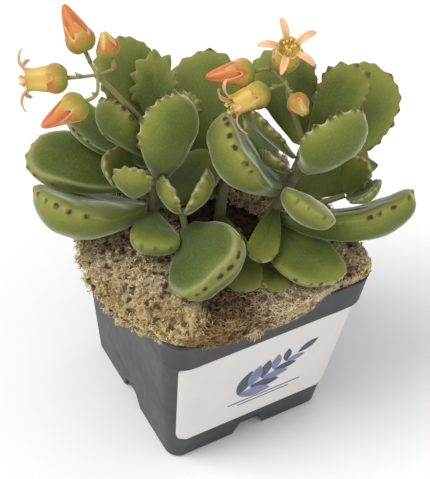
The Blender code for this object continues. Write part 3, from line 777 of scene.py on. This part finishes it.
def make_stalks(skin):
    """Model each flower stalk with its swelling, its bracts and its branches."""
    for name, (foot, fork, heads) in STALKS.items():
        pile = Pile(["along"])
        foot = np.array(foot, dtype=float)
        fork = np.array(fork, dtype=float)
        middle = (foot + fork) / 2 + (-0.8, 0.4, 0.8)
        path = smooth_path([foot - (0, 0, 1.5), middle, fork], 16)
        pile.add(*tube(path, np.linspace(1.15, 0.85, len(path)), STALK_SIDES),
                 along=along_tube(len(path), STALK_SIDES, high=FORK_PLACE))
        for head in heads:
            seat, axis = head_seat(head)
            bend = seat - axis * np.linalg.norm(seat - fork) * 0.5
            path = smooth_path([fork - axis * 0.3, bend, seat], 10)
            radii = 0.58 + 0.35 * np.linspace(0, 1, len(path)) ** 4
            pile.add(*tube(path, radii, BRANCH_SIDES), along=along_tube(len(path), BRANCH_SIDES, low=FORK_PLACE))
            base = path[len(path) // 2]
            bract = [base, base + axis * 1.2 + (0, 0, 0.8), base + axis * 2 + (0, 0, 2.2)]
            pile.add(*tube(bract, [0.9, 0.6, 0.1], 8), along=1.0)
        swelling = [fork + direction(90, 60) * d for d in (-1.6, -1.1, 0, 1.1, 1.6)]
        pile.add(*tube(swelling, [0.4, 0.9, 1.25, 0.9, 0.4], STALK_SIDES), along=FORK_PLACE)
        piece = pile.build("skin_" + name, [skin])
        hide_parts(name)


# ---------------------------------------------------------------- flowers and buds
HEAD_SIDES = 60
PETALS = 5
# A calyx's size, the length of its sepals, and how fast they close.
CALYX_FORMS = {"bud": (1.03, 5.4, 0.058), "open": (1.03, 5.2, 0.058), "small": (0.80, 6.2, 0.105)}
CALYX_SKIN, BUD_SKIN, TUBE_SKIN, LOBE_SKIN, STAMEN_SKIN = range(5)
# A corolla is its profile as (height, radius) pairs, how deep its ridges are, how far they twist, its skin,
# and how much of the tip's colour and of the streaks it takes.
COROLLAS = {
    "bud": ([(-1, 3.6), (2.0, 4.3), (4.5, 3.8), (7.0, 3.05), (9.4, 2.3), (11.4, 1.55), (12.6, 0.85), (13.1, 0.1)],
            0.06, 0.7, BUD_SKIN, 0.3, 1.0),
    "small": ([(-1, 2.6), (0.8, 3.5), (2.0, 2.95), (3.2, 2.3), (4.4, 1.65), (5.3, 0.8), (5.7, 0.1)],
              0.05, 0.4, TUBE_SKIN, 0.6, 1.0),
    "open": ([(-1, 3.6), (2.0, 4.4), (4.5, 4.2), (7.0, 3.8), (8.8, 3.9), (9.3, 4.2), (9.0, 3.6), (6.5, 3.0),
              (6.0, 0.4)],
             0.05, 0, TUBE_SKIN, 0.0, 0.6),
}
MOUTH_HEIGHT = 8.7
MOUTH_RADIUS = 3.4
LOBE_LENGTH = 9.0
LOBE_WIDTH = 2.35
LOBE_THICK = 0.22
LOBE_LEANS = (30, 132)  # a lobe's angle to the flower's axis where it leaves the mouth, and at its tip
LOBE_STEPS = 16
STAMENS = 9


def revolve(profile, ridge, twist):
    """Return a ridged body of revolution along +Z: points, faces, streaks and the place along it."""
    path = smooth_path([(z, r, 0) for z, r in profile], 8)
    z = path[:, :1]
    r = np.maximum(path[:, 1:2], 0.02)
    turn = full_turn(HEAD_SIDES)
    wave = np.cos(PETALS * (turn + twist * np.linspace(0, 1, len(z))[:, None]))
    rings = round_points(r * (1 + ridge * wave), turn, z)
    verts = np.vstack([rings.reshape(-1, 3), [[0, 0, z[0, 0]], [0, 0, z[-1, 0]]]])
    streak = np.append((0.5 - 0.5 * wave) ** 2, [0, 0])
    faces = ring_faces(len(z), HEAD_SIDES, close_low=True, close_high=True)
    return verts, faces, streak, along_tube(len(z), HEAD_SIDES)


def calyx(scale, sepal, taper):
    """Return a cup of five pointed sepals along +Z, with the place along it and its edges."""
    turn = full_turn(HEAD_SIDES)
    point = np.abs(np.cos(PETALS * turn / 2)) ** 1.8
    v = np.linspace(0, 1, 14)[:, None]
    z = -4.2 + v * (5.0 + sepal * point)
    body = np.sqrt(np.clip(1 - ((z + 0.2) / 4.6) ** 2, 0.04, 1))
    r = 5.1 * np.where(z < 0.6, body, np.maximum(body, 0.95 - taper * (z - 0.6)))
    rings = round_points(r * (1 + 0.03 * np.cos(PETALS * turn)), turn, z)
    lip = rings[-1:] * (0.80, 0.80, 1.0) - (0, 0, 0.3)
    rings = np.concatenate([rings, lip])
    verts = np.vstack([rings.reshape(-1, 3), [[0, 0, -4.3]]]) * scale
    along = np.append(v, 1.0)
    edge = np.clip((along - 0.8) / 0.2, 0, 1)
    return (verts, ring_faces(len(rings), HEAD_SIDES, close_low=True),
            np.append(np.repeat(along, HEAD_SIDES), 0), np.append(np.repeat(edge, HEAD_SIDES), 0))


def lobe(turn, rng):
    """Return one long narrow lobe that leaves the mouth and curls back: points, faces, streak and place."""
    across = np.linspace(-1, 1, 7)
    angle = np.radians(np.linspace(*LOBE_LEANS, LOBE_STEPS) + rng.uniform(-8, 8))[:, None]
    step = LOBE_LENGTH / (LOBE_STEPS - 1)
    r = MOUTH_RADIUS + np.vstack([[0], np.cumsum(np.sin(angle[1:]) * step)[:, None]])
    z = MOUTH_HEIGHT + np.vstack([[0], np.cumsum(np.cos(angle[1:]) * step)[:, None]])
    place = np.linspace(0, 1, LOBE_STEPS)[:, None]
    half = LOBE_WIDTH / 2 * (0.75 + 0.5 * np.sin(place * math.pi * 0.9)) * superellipse(place, 2.6)
    side = np.array([1, -1])[:, None, None]
    lift = 0.35 * half * across ** 2 + side * LOBE_THICK * np.sqrt(1 - 0.9 * across ** 2)
    x = r - np.cos(angle) * lift
    y = half * across
    verts = np.stack([x * np.cos(turn) - y * np.sin(turn), x * np.sin(turn) + y * np.cos(turn),
                      z + np.sin(angle) * lift], axis=-1).reshape(-1, 3)
    streak = np.tile(np.exp(-(across / 0.3) ** 2), 2 * LOBE_STEPS)
    along = np.tile(np.repeat(place, len(across)), 2)
    return verts, sheet_faces(LOBE_STEPS, len(across), close_ends=False), streak, along


def open_flower(pile, rng):
    """Add the lobes and the stamens of an open flower."""
    for k in range(PETALS):
        turn = 2 * math.pi * (k + 0.5) / PETALS + rng.uniform(-0.08, 0.08)
        verts, faces, streak, along = lobe(turn, rng)
        pile.add(verts, faces, LOBE_SKIN, along=along, streak=streak)
    for turn in full_turn(STAMENS):
        out = np.array([math.cos(turn), math.sin(turn), 0])
        tip = out * rng.uniform(1.0, 2.6) + (0, 0, rng.uniform(10.2, 11.8))
        filament = smooth_path([out * 1.6 + (0, 0, 6), out * 1.7 + (0, 0, 9), tip], 3)
        pile.add(*tube(filament, 0.16, 6), STAMEN_SKIN)
        anther = [tip + (0, 0, d) for d in (-0.5, -0.3, 0, 0.35, 0.55)]
        pile.add(*tube(anther, [0.15, 0.42, 0.5, 0.38, 0.1], 8), STAMEN_SKIN)


def make_heads(skins):
    """Model each flower and bud as a calyx, a corolla and, where it is open, lobes and stamens."""
    for index, (name, (kind, centre, azimuth, elevation)) in enumerate(HEADS.items()):
        rng = np.random.default_rng(500 + index)
        pile = Pile(["along", "edge", "streak"])
        verts, faces, along, edge = calyx(*CALYX_FORMS[kind])
        pile.add(verts, faces, CALYX_SKIN, along=along, edge=edge)
        profile, ridge, twist, skin, tip_share, streak_share = COROLLAS[kind]
        verts, faces, streak, along = revolve(profile, ridge, twist)
        pile.add(verts, faces, skin, along=along * tip_share, streak=streak * streak_share)
        if kind == "open":
            open_flower(pile, rng)
        piece = pile.build("bloom_" + name, skins)
        turned = Vector(direction(azimuth, elevation)).to_track_quat("Z", "Y").to_matrix().to_4x4()
        piece.data.transform(Matrix.Translation(Vector(centre) * MM) @ turned)
        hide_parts(name)


# ---------------------------------------------------------------- moss
CORE_COLUMNS = 110
CORE_STEPS = 6
HANG_LEAST = 0.06  # the share of its overhang and droop that a clump keeps far from where it hangs furthest
RIM_POWER = 9  # how square the pot's rim is
STRAND_SIDES = 3
STRAND_REACH = 2.5  # how far strands may stand out past a clump's overhang
STRAND_RISE = 3.5  # how far they may stand up over its height
LOOSE_RISE = 0.5  # and how far the loose ones may
GOLD_PLACE = (-40, -38)  # the pot's near corner, where the moss is most golden
GOLD_REACH = 16
WISPS = 70
WISP_STEPS = 8
WISP_STEP = 0.95
WISP_SAG = 0.22
WISP_REACH = (0.5, 2.6)  # how far from the rim band they stay
WISP_DROP = 8.5


def rim_radius(azimuth):
    """Return the pot rim's distance from its axis at an azimuth in degrees."""
    c = np.abs(np.cos(np.radians(azimuth)))
    s = np.abs(np.sin(np.radians(azimuth)))
    return RIM_HALF / (c ** RIM_POWER + s ** RIM_POWER) ** (1 / RIM_POWER)


def hang_share(azimuth, fullest):
    """Return the share of its overhang and droop that a clump has at an azimuth."""
    turned = (azimuth - fullest + 180) % 360 - 180
    return HANG_LEAST + (1 - HANG_LEAST) * np.exp(-(turned / MOSS_HANG) ** 4)


def moss_profile(clump, azimuth, share):
    """Return a clump's closed outline in (radius, height), at an azimuth and a share of the way round it."""
    _first, _last, inner, height, overhang, droop, fullest, habit = clump
    taper = float(superellipse(abs(2 * share - 1), 5))
    hang = taper * float(hang_share(azimuth, fullest))
    ragged = 0.9 if habit == "loose" else 0.5
    along = Vector(direction(azimuth, 0) * 9)
    height = max(0.8, height * taper * (1 + 0.5 * noise.noise(along / 1.7)))
    overhang = max(0.3, overhang * hang * (1 + ragged * noise.noise(along / 1.1 + Vector((7, 0, 0)))))
    droop = max(0.0, droop * hang * (1 + 1.4 * ragged * noise.noise(along / 0.8 + Vector((0, 7, 0)))))
    edge = float(rim_radius(azimuth))
    top = POT_HEIGHT
    return [(inner, top - 0.1), (inner + 2, top + height * 0.6), ((inner + edge) / 2, top + height),
            (edge - 4, top + height * 0.85), (edge + overhang * 0.5, top + height * 0.5),
            (edge + overhang, top - droop * 0.35), (edge + overhang * 0.7 + 0.4, top - droop),
            (edge + 0.7, top - droop * 0.8), (edge + 0.6, top + 0.2), (edge - 2, top + 0.4)]


def keep_in_place(points, clump):
    """Move moss points out of the pot's rim and wall, and back from far over its side."""
    _first, _last, _inner, height, overhang, droop, fullest, habit = clump
    azimuth = np.degrees(np.arctan2(points[:, 1], points[:, 0]))
    hang = hang_share(azimuth, fullest)
    far = np.hypot(points[:, 0], points[:, 1])
    edge = rim_radius(azimuth)
    scale = np.minimum(1.0, (edge - 1.5 + (overhang + STRAND_REACH) * hang) / far)
    points[:, :2] *= scale[:, None]
    lowest = np.where(far * scale < edge + 0.5, POT_HEIGHT + 0.3, POT_HEIGHT - 1.5 - droop * hang)
    highest = POT_HEIGHT + height + (LOOSE_RISE if habit == "loose" else STRAND_RISE)
    points[:, 2] = np.clip(points[:, 2], lowest, highest)
    return points


def moss_core(clump):
    """Return the body of a clump: points on a grid, their normals, their pits, and its faces."""
    first, last, *_rest, habit = clump
    rings = []
    for share in np.linspace(0, 1, CORE_COLUMNS):
        azimuth = first + (last - first) * share
        loop = moss_profile(clump, azimuth, share)
        curve = smooth_path([(r, z, 0) for r, z in [loop[-1]] + loop + loop[:2]], CORE_STEPS)
        curve = curve[CORE_STEPS:-CORE_STEPS - 1]
        rings.append(curve[:, :1] * direction(azimuth, 0) + curve[:, 1:2] * (0.0, 0.0, 1.0))
    grid = np.array(rings)
    normal = unit(np.cross(np.gradient(grid, axis=0), np.roll(grid, -1, axis=1) - np.roll(grid, 1, axis=1)))
    if np.sum(normal * (grid - grid.mean(axis=1, keepdims=True))) < 0:
        normal = -normal
    flat = grid.reshape(-1, 3)
    lumps = (1.3 if habit == "fine" else 1.8) * lumpy(flat, 5.5) + 0.8 * lumpy(flat, 2.4)
    pits = np.clip(lumpy(flat, 1.7, 50) * 5 - 0.7, 0, 1)
    shift = (lumps - pits * 1.5 - 1.2).reshape(CORE_COLUMNS, -1, 1)
    grid = keep_in_place((grid + normal * shift).reshape(-1, 3), clump).reshape(grid.shape)
    verts = np.vstack([grid.reshape(-1, 3), grid[0].mean(axis=0), grid[-1].mean(axis=0)])
    faces = ring_faces(CORE_COLUMNS, grid.shape[1], close_low=True, close_high=True)
    return verts, normal.reshape(-1, 3), pits, faces


def strands(paths, radii):
    """Return the points and faces of many thin tubes at once."""
    count, steps, _ = paths.shape
    along = unit(paths[:, -1] - paths[:, 0])
    side = unit(np.cross(along, (0.31, 0.52, 0.79)))
    up = np.cross(along, side)
    turn = (np.arange(STRAND_SIDES) * 2 * math.pi / STRAND_SIDES)[None, :, None]
    ring = np.cos(turn) * side[:, None, :] + np.sin(turn) * up[:, None, :]
    verts = paths[:, :, None, :] + ring[:, None, :, :] * np.asarray(radii)[None, :, None, None]
    grid = np.arange(count * steps * STRAND_SIDES).reshape(count, steps, STRAND_SIDES)
    ahead = np.roll(grid, -1, axis=2)
    quads = np.stack([grid[:, :-1], ahead[:, :-1], ahead[:, 1:], grid[:, 1:]], axis=-1)
    return verts.reshape(-1, 3), quads.reshape(-1, 4).tolist() + grid[:, -1].tolist()


def moss_gold(points):
    """Return how golden the moss is at each point: most round the near corner, and in loose patches."""
    corner = np.exp(-np.sum((points[:, :2] - GOLD_PLACE) ** 2, axis=1) / GOLD_REACH ** 2)
    return np.clip(corner + np.clip(lumpy(points, 15, 3) * 2.2, 0, 0.7), 0, 1)


def moss_tone(points, gold, clump):
    """Return how pale the moss is at each point of a clump's body."""
    *_rest, tone_low, tone_high = HABITS[clump[-1]]
    tone = tone_low + (tone_high - tone_low) * (0.5 + 1.2 * lumpy(points, 13))
    if clump[-1] == "loose":
        azimuth = np.degrees(np.arctan2(points[:, 1], points[:, 0])) % 360
        tone = tone + 0.7 * np.clip((azimuth - FRONT_PALE_FROM) / 10, 0, 1)
    return np.clip(tone * (1 + 0.4 * gold), 0, 1)


def grow_tufts(pile, clump, roots, rng):
    """Add strands that fork and fork again from the roots: their points, headings, tones and gold."""
    _tufts, levels, steps, step, wander, fork, radius, *_tones = HABITS[clump[-1]]
    at, heading, tone, gold = roots
    for level in range(levels):
        path = [at]
        for _ in range(steps):
            heading = unit(heading + rng.normal(0, wander, heading.shape))
            at = keep_in_place(at + heading * step, clump)
            path.append(at)
        thick = radius * 0.85 ** level * np.linspace(1.0, 0.85, steps + 1)
        if level == levels - 1:
            thick[-1] *= 0.6
        verts, faces = strands(np.stack(path, axis=1), thick)
        each = (steps + 1) * STRAND_SIDES
        climb = np.tile(np.repeat(np.linspace(0, 1, steps + 1), STRAND_SIDES), len(at))
        # The tip value paints shade: a strand is darker towards its foot, deep in the clump.
        pile.add(verts, faces, tone=np.repeat(tone, each), gold=np.repeat(gold, each),
                 tip=(level + 1 + climb) / (levels + 1))
        at, heading, tone, gold = (np.repeat(values, 2, axis=0) for values in (at, heading, tone, gold))
        heading = unit(heading + rng.normal(0, fork, (len(at), 3)))


def hang_wisps(pile, rng):
    """Add loose strands that hang over the rim's front edge."""
    at = np.stack([rng.normal(-11.5, 1.5, WISPS), rng.uniform(-RIM_HALF - 2.3, -RIM_HALF - 0.9, WISPS),
                   rng.uniform(POT_HEIGHT - 1.0, POT_HEIGHT + 1.5, WISPS)], axis=-1)
    heading = unit(np.stack([rng.normal(0, 0.5, WISPS), rng.normal(-0.3, 0.2, WISPS),
                             rng.uniform(-1.2, -0.1, WISPS)], axis=-1))
    near, far = WISP_REACH
    path = [at]
    for _ in range(WISP_STEPS):
        heading = unit(heading + rng.normal(0, 0.6, heading.shape) - (0, 0, WISP_SAG))
        at = at + heading * WISP_STEP
        at[:, 1] = np.clip(at[:, 1], -RIM_HALF - far, -RIM_HALF - near)
        at[:, 2] = np.maximum(at[:, 2], POT_HEIGHT - WISP_DROP)
        path.append(at)
    verts, faces = strands(np.stack(path, axis=1), np.linspace(0.24, 0.13, WISP_STEPS + 1))
    pile.add(verts, faces, tone=rng.uniform(0.35, 0.75), gold=0.6, tip=0.85)


def make_moss(material):
    """Grow each clump of moss as tufts of forking strands over a pitted body."""
    for index, (name, clump) in enumerate(MOSS.items()):
        tufts = HABITS[clump[-1]][0]
        rng = np.random.default_rng(40 + index)
        pile = Pile(["tone", "tip", "gold"])
        verts, normals, pits, faces = moss_core(clump)
        gold = moss_gold(verts)
        tone = moss_tone(verts, gold, clump)
        # The body is painted dark, darkest in its pits: painted shade inside the clump.
        pile.add(verts, faces, tone=tone, gold=gold, tip=np.append(0.30 * (1 - pits), [0, 0]))

        seen = (normals[:, 2] > -0.4) & (pits < 0.3)
        picks = rng.choice(np.flatnonzero(seen), tufts)
        at = verts[picks] + rng.normal(0, 0.25, (tufts, 3))
        heading = unit(normals[picks] + rng.normal(0, 0.5, (tufts, 3)))
        tone = np.clip(tone[picks] + rng.normal(0, 0.12, tufts), 0, 1)
        grow_tufts(pile, clump, (at, heading, tone, gold[picks]), rng)
        if clump[-1] == "loose":
            hang_wisps(pile, rng)
        piece = pile.build("strands_" + name, [material])
        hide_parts(name)


# ---------------------------------------------------------------- soil
CRUMBS = 500
CRUMB_DEPTH = 0.3  # how far a crumb's middle is below the pot's rim
CRUMB_SHAPE = ((-1, 0.2), (-0.6, 0.8), (0, 1.0), (0.6, 0.8), (1, 0.2))  # place along a crumb, and its girth


def make_soil(material):
    """Give the soil its look, and scatter crumbs on it."""
    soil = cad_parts["soil"]
    soil.data.materials.clear()
    soil.data.materials.append(material)
    rng = np.random.default_rng(9)
    pile = Pile([])
    girths = np.array([girth for _place, girth in CRUMB_SHAPE])
    for _ in range(CRUMBS):
        azimuth = rng.uniform(0, 360)
        radius = (float(rim_radius(azimuth)) - 4) * math.sqrt(rng.uniform(0, 1))
        centre = direction(azimuth, 0) * radius + (0, 0, POT_HEIGHT - CRUMB_DEPTH)
        size = rng.uniform(0.4, 1.3)
        lump = unit(rng.normal(0, 1, 3)) * size
        path = [centre + lump * place for place, _girth in CRUMB_SHAPE]
        pile.add(*tube(path, girths * size * rng.uniform(0.5, 1.0), 5))
    piece = pile.build("crumbs", [material])


# ---------------------------------------------------------------- pot and label
BAND_FOOT = POT_HEIGHT - BAND_HEIGHT
WALL_TOP = RIM_HALF - BAND_STEP - BAND_TAPER
SHARP_EDGE = 38  # the least angle between faces that shades as an edge
LABEL_ROWS = 44
LABEL_COLUMNS = 90
LABEL_BED = 0.25  # how far the film's back reaches into the gap behind its solid
INK_OFFSET = LABEL_OFFSET + LABEL_THICK + 0.05
BLADE_STEPS = 24
SPRIG_PAIRS = 5
RULES = ((28.5, -14, 20), (26.2, -9, 15))  # each rule's top, left end and right end
RULE_STEPS = 40


def wall_half(z):
    """Return the pot wall's outer half width at a height below the band."""
    return BASE_HALF + (WALL_TOP - BASE_HALF) * z / BAND_FOOT


def wall_corner(z):
    """Return the pot wall's outer corner radius at a height."""
    return BASE_CORNER + (WALL_CORNER - BASE_CORNER) * z / BAND_FOOT


def rounded_square(half, corner, z):
    """Return the outline of a square with round corners, counter-clockwise from above."""
    points = []
    for quarter in range(4):
        a = quarter * math.pi / 2
        inner = half - corner
        cx = inner * math.cos(a) - inner * math.sin(a)
        cy = inner * math.sin(a) + inner * math.cos(a)
        for step in range(CORNER_STEPS + 1):
            angle = a + step / CORNER_STEPS * math.pi / 2
            points.append((cx + corner * math.cos(angle), cy + corner * math.sin(angle), z))
    return points


def make_pot(material):
    """Model the pot's shell with rounded edges, a rim lip and its drain openings."""
    half_way = BAND_FOOT * 0.5
    wall_top = wall_half(BAND_FOOT)
    sections = [
        (BASE_HALF - 2.4, BASE_CORNER - 2.4, 0.0),
        (BASE_HALF - 1.2, BASE_CORNER - 1.2, 0.0),
        (BASE_HALF - 0.5, BASE_CORNER - 0.5, 0.3),
        (BASE_HALF, BASE_CORNER, 1.2),
        (wall_half(half_way), wall_corner(half_way), half_way),
        (wall_top - 0.02, WALL_CORNER, BAND_FOOT - 0.5),
        (wall_top + 0.15, WALL_CORNER, BAND_FOOT - 0.1),
        (RIM_HALF - BAND_TAPER - 0.35, RIM_CORNER, BAND_FOOT),
        (RIM_HALF - BAND_TAPER, RIM_CORNER, BAND_FOOT + 0.35),
        (RIM_HALF - 0.12, RIM_CORNER, POT_HEIGHT - 1.2),
        (RIM_HALF, RIM_CORNER, POT_HEIGHT - 0.6),
        (RIM_HALF - 0.15, RIM_CORNER, POT_HEIGHT - 0.18),
        (RIM_HALF - 0.5, RIM_CORNER - 0.3, POT_HEIGHT),
        (RIM_HALF - WALL + 0.3, RIM_CORNER - WALL + 0.3, POT_HEIGHT),
        (RIM_HALF - WALL, RIM_CORNER - WALL, POT_HEIGHT - 0.4),
        (wall_top - WALL, WALL_CORNER - WALL, BAND_FOOT),
        (BASE_HALF - WALL, BASE_CORNER - WALL, FLOOR),
    ]
    rings = [rounded_square(*section) for section in sections]
    verts = np.vstack(rings + [[(0, 0, 0)], [(0, 0, FLOOR)]])
    faces = ring_faces(len(rings), len(rings[0]), close_low=True, close_high=True)
    shell = new_object("pot_shell", verts, faces, [material])
    for quarter in range(4):
        cut_drain(shell, quarter)
    soften(shell)
    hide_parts("pot")


def cut_drain(shell, quarter):
    """Cut one drain opening through the foot of the wall."""
    corners = []
    for depth in (BASE_HALF + 10, BASE_HALF - NOTCH_DEPTH):
        corners += [(-NOTCH_HALF_BOTTOM, -depth, -1), (NOTCH_HALF_BOTTOM, -depth, -1),
                    (NOTCH_HALF_TOP, -depth, NOTCH_HEIGHT), (-NOTCH_HALF_TOP, -depth, NOTCH_HEIGHT)]
    mesh = bpy.data.meshes.new("drain")
    faces = [(0, 1, 2, 3), (7, 6, 5, 4), (0, 4, 5, 1), (1, 5, 6, 2), (2, 6, 7, 3), (3, 7, 4, 0)]
    mesh.from_pydata((np.array(corners) * MM).tolist(), [], faces)
    mesh.transform(Matrix.Rotation(quarter * math.pi / 2, 4, "Z"))
    cutter = bpy.data.objects.new("drain", mesh)
    bpy.context.scene.collection.objects.link(cutter)
    modifier = shell.modifiers.new("drain", "BOOLEAN")
    modifier.operation = "DIFFERENCE"
    modifier.solver = "EXACT"
    modifier.object = cutter
    bpy.context.view_layer.update()
    cut = bpy.data.meshes.new_from_object(shell.evaluated_get(bpy.context.evaluated_depsgraph_get()))
    shell.modifiers.clear()
    shell.data = cut
    bpy.data.objects.remove(cutter, do_unlink=True)


def soften(shell):
    """Shade the shell smooth except across its sharp edges."""
    bm = bmesh.new()
    bm.from_mesh(shell.data)
    bmesh.ops.recalc_face_normals(bm, faces=bm.faces)
    for edge in bm.edges:
        edge.smooth = len(edge.link_faces) == 2 and edge.calc_face_angle(0) < math.radians(SHARP_EDGE)
    for face in bm.faces:
        face.smooth = True
    bm.to_mesh(shell.data)
    bm.free()


def label_point(across, z, offset):
    """Return the point on the front wall at a distance across from its middle line, stood off the wall."""
    corner = wall_corner(z) + offset
    inner = wall_half(z) + offset - corner
    angle = max(0.0, abs(across) - inner) / corner
    x = min(abs(across), inner) + corner * math.sin(angle)
    return math.copysign(x, across), -inner - corner * math.cos(angle), z


def label_reach(z):
    """Return how far the label goes to each side of the middle line at a height."""
    corner = wall_corner(z)
    return wall_half(z) - corner + corner * math.radians(LABEL_WRAP)


def make_label(film, inks):
    """Model the label film with round corners, and print a plain leaf sprig on it."""
    outer, inner = [], []
    for i in range(LABEL_ROWS + 1):
        z = LABEL_BOTTOM + (LABEL_TOP - LABEL_BOTTOM) * i / LABEL_ROWS
        near_end = max(0.0, LABEL_CORNER - min(z - LABEL_BOTTOM, LABEL_TOP - z))
        trim = LABEL_CORNER - math.sqrt(max(0.0, LABEL_CORNER ** 2 - near_end ** 2))
        reach = label_reach(z) - trim
        for j in range(LABEL_COLUMNS + 1):
            across = -reach + 2 * reach * j / LABEL_COLUMNS
            outer.append(label_point(across, z, LABEL_OFFSET + LABEL_THICK))
            inner.append(label_point(across, z, LABEL_OFFSET - LABEL_BED))
    faces = sheet_faces(LABEL_ROWS + 1, LABEL_COLUMNS + 1, close_ends=True)
    sheet = new_object("label_film", outer + inner, faces, [film])
    soften(sheet)
    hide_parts("label")
    print_sprig(inks)


def add_blade(pile, x, z, angle, length, width, pick):
    """Print one pointed leaf on the label, from its foot."""
    outline = [(k / BLADE_STEPS, math.sin(math.pi * k / BLADE_STEPS) ** 0.8) for k in range(BLADE_STEPS + 1)]
    outline += [(t, -h) for t, h in outline[-2:0:-1]]
    c = math.cos(math.radians(angle))
    s = math.sin(math.radians(angle))
    flat = [(x + c * t * length - s * h * width / 2, z + s * t * length + c * h * width / 2) for t, h in outline]
    points = [label_point(px, pz, INK_OFFSET + 0.01 * pick) for px, pz in flat]
    pile.add(points, [tuple(range(len(points)))], pick)


def print_sprig(inks):
    """Print a sprig of paired leaves over two plain rules."""
    pile = Pile([])
    for k in range(SPRIG_PAIRS):
        x = -10 + k * 5.0
        z = 34 + k * 3.0
        size = 15.5 - 1.7 * k
        add_blade(pile, x, z, 75 + 4 * k, size, size * 0.42, k % 2)
        add_blade(pile, x, z, -12 + 4 * k, size, size * 0.42, (k + 1) % 2)
    add_blade(pile, 15, 49, 33, 10, 4.4, 0)
    wide = RULE_STEPS + 1
    for top, left, right in RULES:
        across = [left + (right - left) * k / RULE_STEPS for k in range(wide)]
        points = [label_point(x, z, INK_OFFSET) for z in (top - 0.7, top) for x in across]
        pile.add(points, [(k, k + 1, wide + k + 1, wide + k) for k in range(RULE_STEPS)])
    piece = pile.build("label_print", inks)


# ---------------------------------------------------------------- floor, light and camera
STAGE_HALF = 4  # metres
AMBIENT = 0.62  # the world's light on the object, where the camera sees it as white
# A lamp's azimuth, elevation, strength and angular size.
LAMPS = {"key": (165, 52, 1.7, 35), "fill": (-80, 60, 0.35, 90)}
CAMERA_LENS = 87.9
CAMERA_PLACE = Vector((-0.1775, -0.2647, 0.4040))  # metres, and so is its target
CAMERA_TARGET = Vector((0.0087, 0.0162, 0.0619))
CAMERA_TILT = 5.9


def make_stage():
    """Make the pale floor, the soft light and the white world."""
    paint = Paint("floor_paper", 0.9, 0.1)
    shade = paint.mix(paint.noise(20, 2), (0.945, 0.945, 0.945), (0.955, 0.955, 0.955))
    paint.feed(paint.shader, {"Base Color": shade})
    mesh = bpy.data.meshes.new("floor")
    corners = [(x * STAGE_HALF, y * STAGE_HALF, 0) for x, y in ((-1, -1), (1, -1), (1, 1), (-1, 1))]
    mesh.from_pydata(corners, [], [(0, 1, 2, 3)])
    mesh.materials.append(paint.material)
    floor = bpy.data.objects.new("floor", mesh)
    bpy.context.scene.collection.objects.link(floor)

    world = bpy.data.worlds.new("studio")
    world.use_nodes = True
    tree = world.node_tree
    background = tree.nodes["Background"]
    path = tree.nodes.new("ShaderNodeLightPath")
    strength = tree.nodes.new("ShaderNodeMapRange")
    strength.inputs["To Min"].default_value = AMBIENT
    strength.inputs["To Max"].default_value = 1.0
    tree.links.new(path.outputs["Is Camera Ray"], strength.inputs["Value"])
    tree.links.new(strength.outputs["Result"], background.inputs["Strength"])
    background.inputs["Color"].default_value = (1.0, 1.0, 1.0, 1.0)
    bpy.context.scene.world = world

    for name, (azimuth, elevation, energy, size) in LAMPS.items():
        lamp = bpy.data.lights.new(name, "SUN")
        lamp.energy = energy
        lamp.angle = math.radians(size)
        holder = bpy.data.objects.new(name, lamp)
        holder.rotation_mode = "QUATERNION"
        holder.rotation_quaternion = Vector(-direction(azimuth, elevation)).to_track_quat("-Z", "Y")
        bpy.context.scene.collection.objects.link(holder)


def make_camera():
    """Look down on the plant from its front left."""
    camera = bpy.data.cameras.new("camera")
    camera.lens = CAMERA_LENS
    camera.clip_start = 0.01
    holder = bpy.data.objects.new("camera", camera)
    view = (CAMERA_TARGET - CAMERA_PLACE).to_track_quat("-Z", "Y").to_matrix()
    tilt = Matrix.Rotation(math.radians(CAMERA_TILT), 3, "Z")
    holder.matrix_world = Matrix.Translation(CAMERA_PLACE) @ (view @ tilt).to_4x4()
    bpy.context.scene.collection.objects.link(holder)
    bpy.context.scene.camera = holder


make_camera()
make_stage()
make_pot(pot_material())
make_label(label_material(), [
    print_material("ink_dark", (0.060, 0.065, 0.110), (0.095, 0.100, 0.160)),
    print_material("ink_light", (0.170, 0.190, 0.330), (0.250, 0.275, 0.420)),
])
make_soil(soil_material())
make_moss(moss_material())
make_stems(stem_material("bark_skin", (0.190, 0.140, 0.070), (0.240, 0.270, 0.110), (0.130, 0.085, 0.045)))
make_stalks(stem_material("stalk_skin", (0.200, 0.230, 0.070), (0.300, 0.280, 0.090), (0.300, 0.170, 0.070)))
make_leaves(leaf_material())
make_heads([
    calyx_material(),
    petal_material("petal_bud", (0.68, 0.25, 0.06), (0.50, 0.07, 0.03), (0.74, 0.15, 0.06)),
    petal_material("petal_tube", (0.72, 0.52, 0.12), (0.68, 0.27, 0.06), (0.74, 0.50, 0.16)),
    petal_material("petal_lobe", (0.80, 0.53, 0.24), (0.76, 0.30, 0.11), (0.84, 0.50, 0.28)),
    stamen_material(),
])

bpy.context.scene.view_settings.view_transform = "Standard"
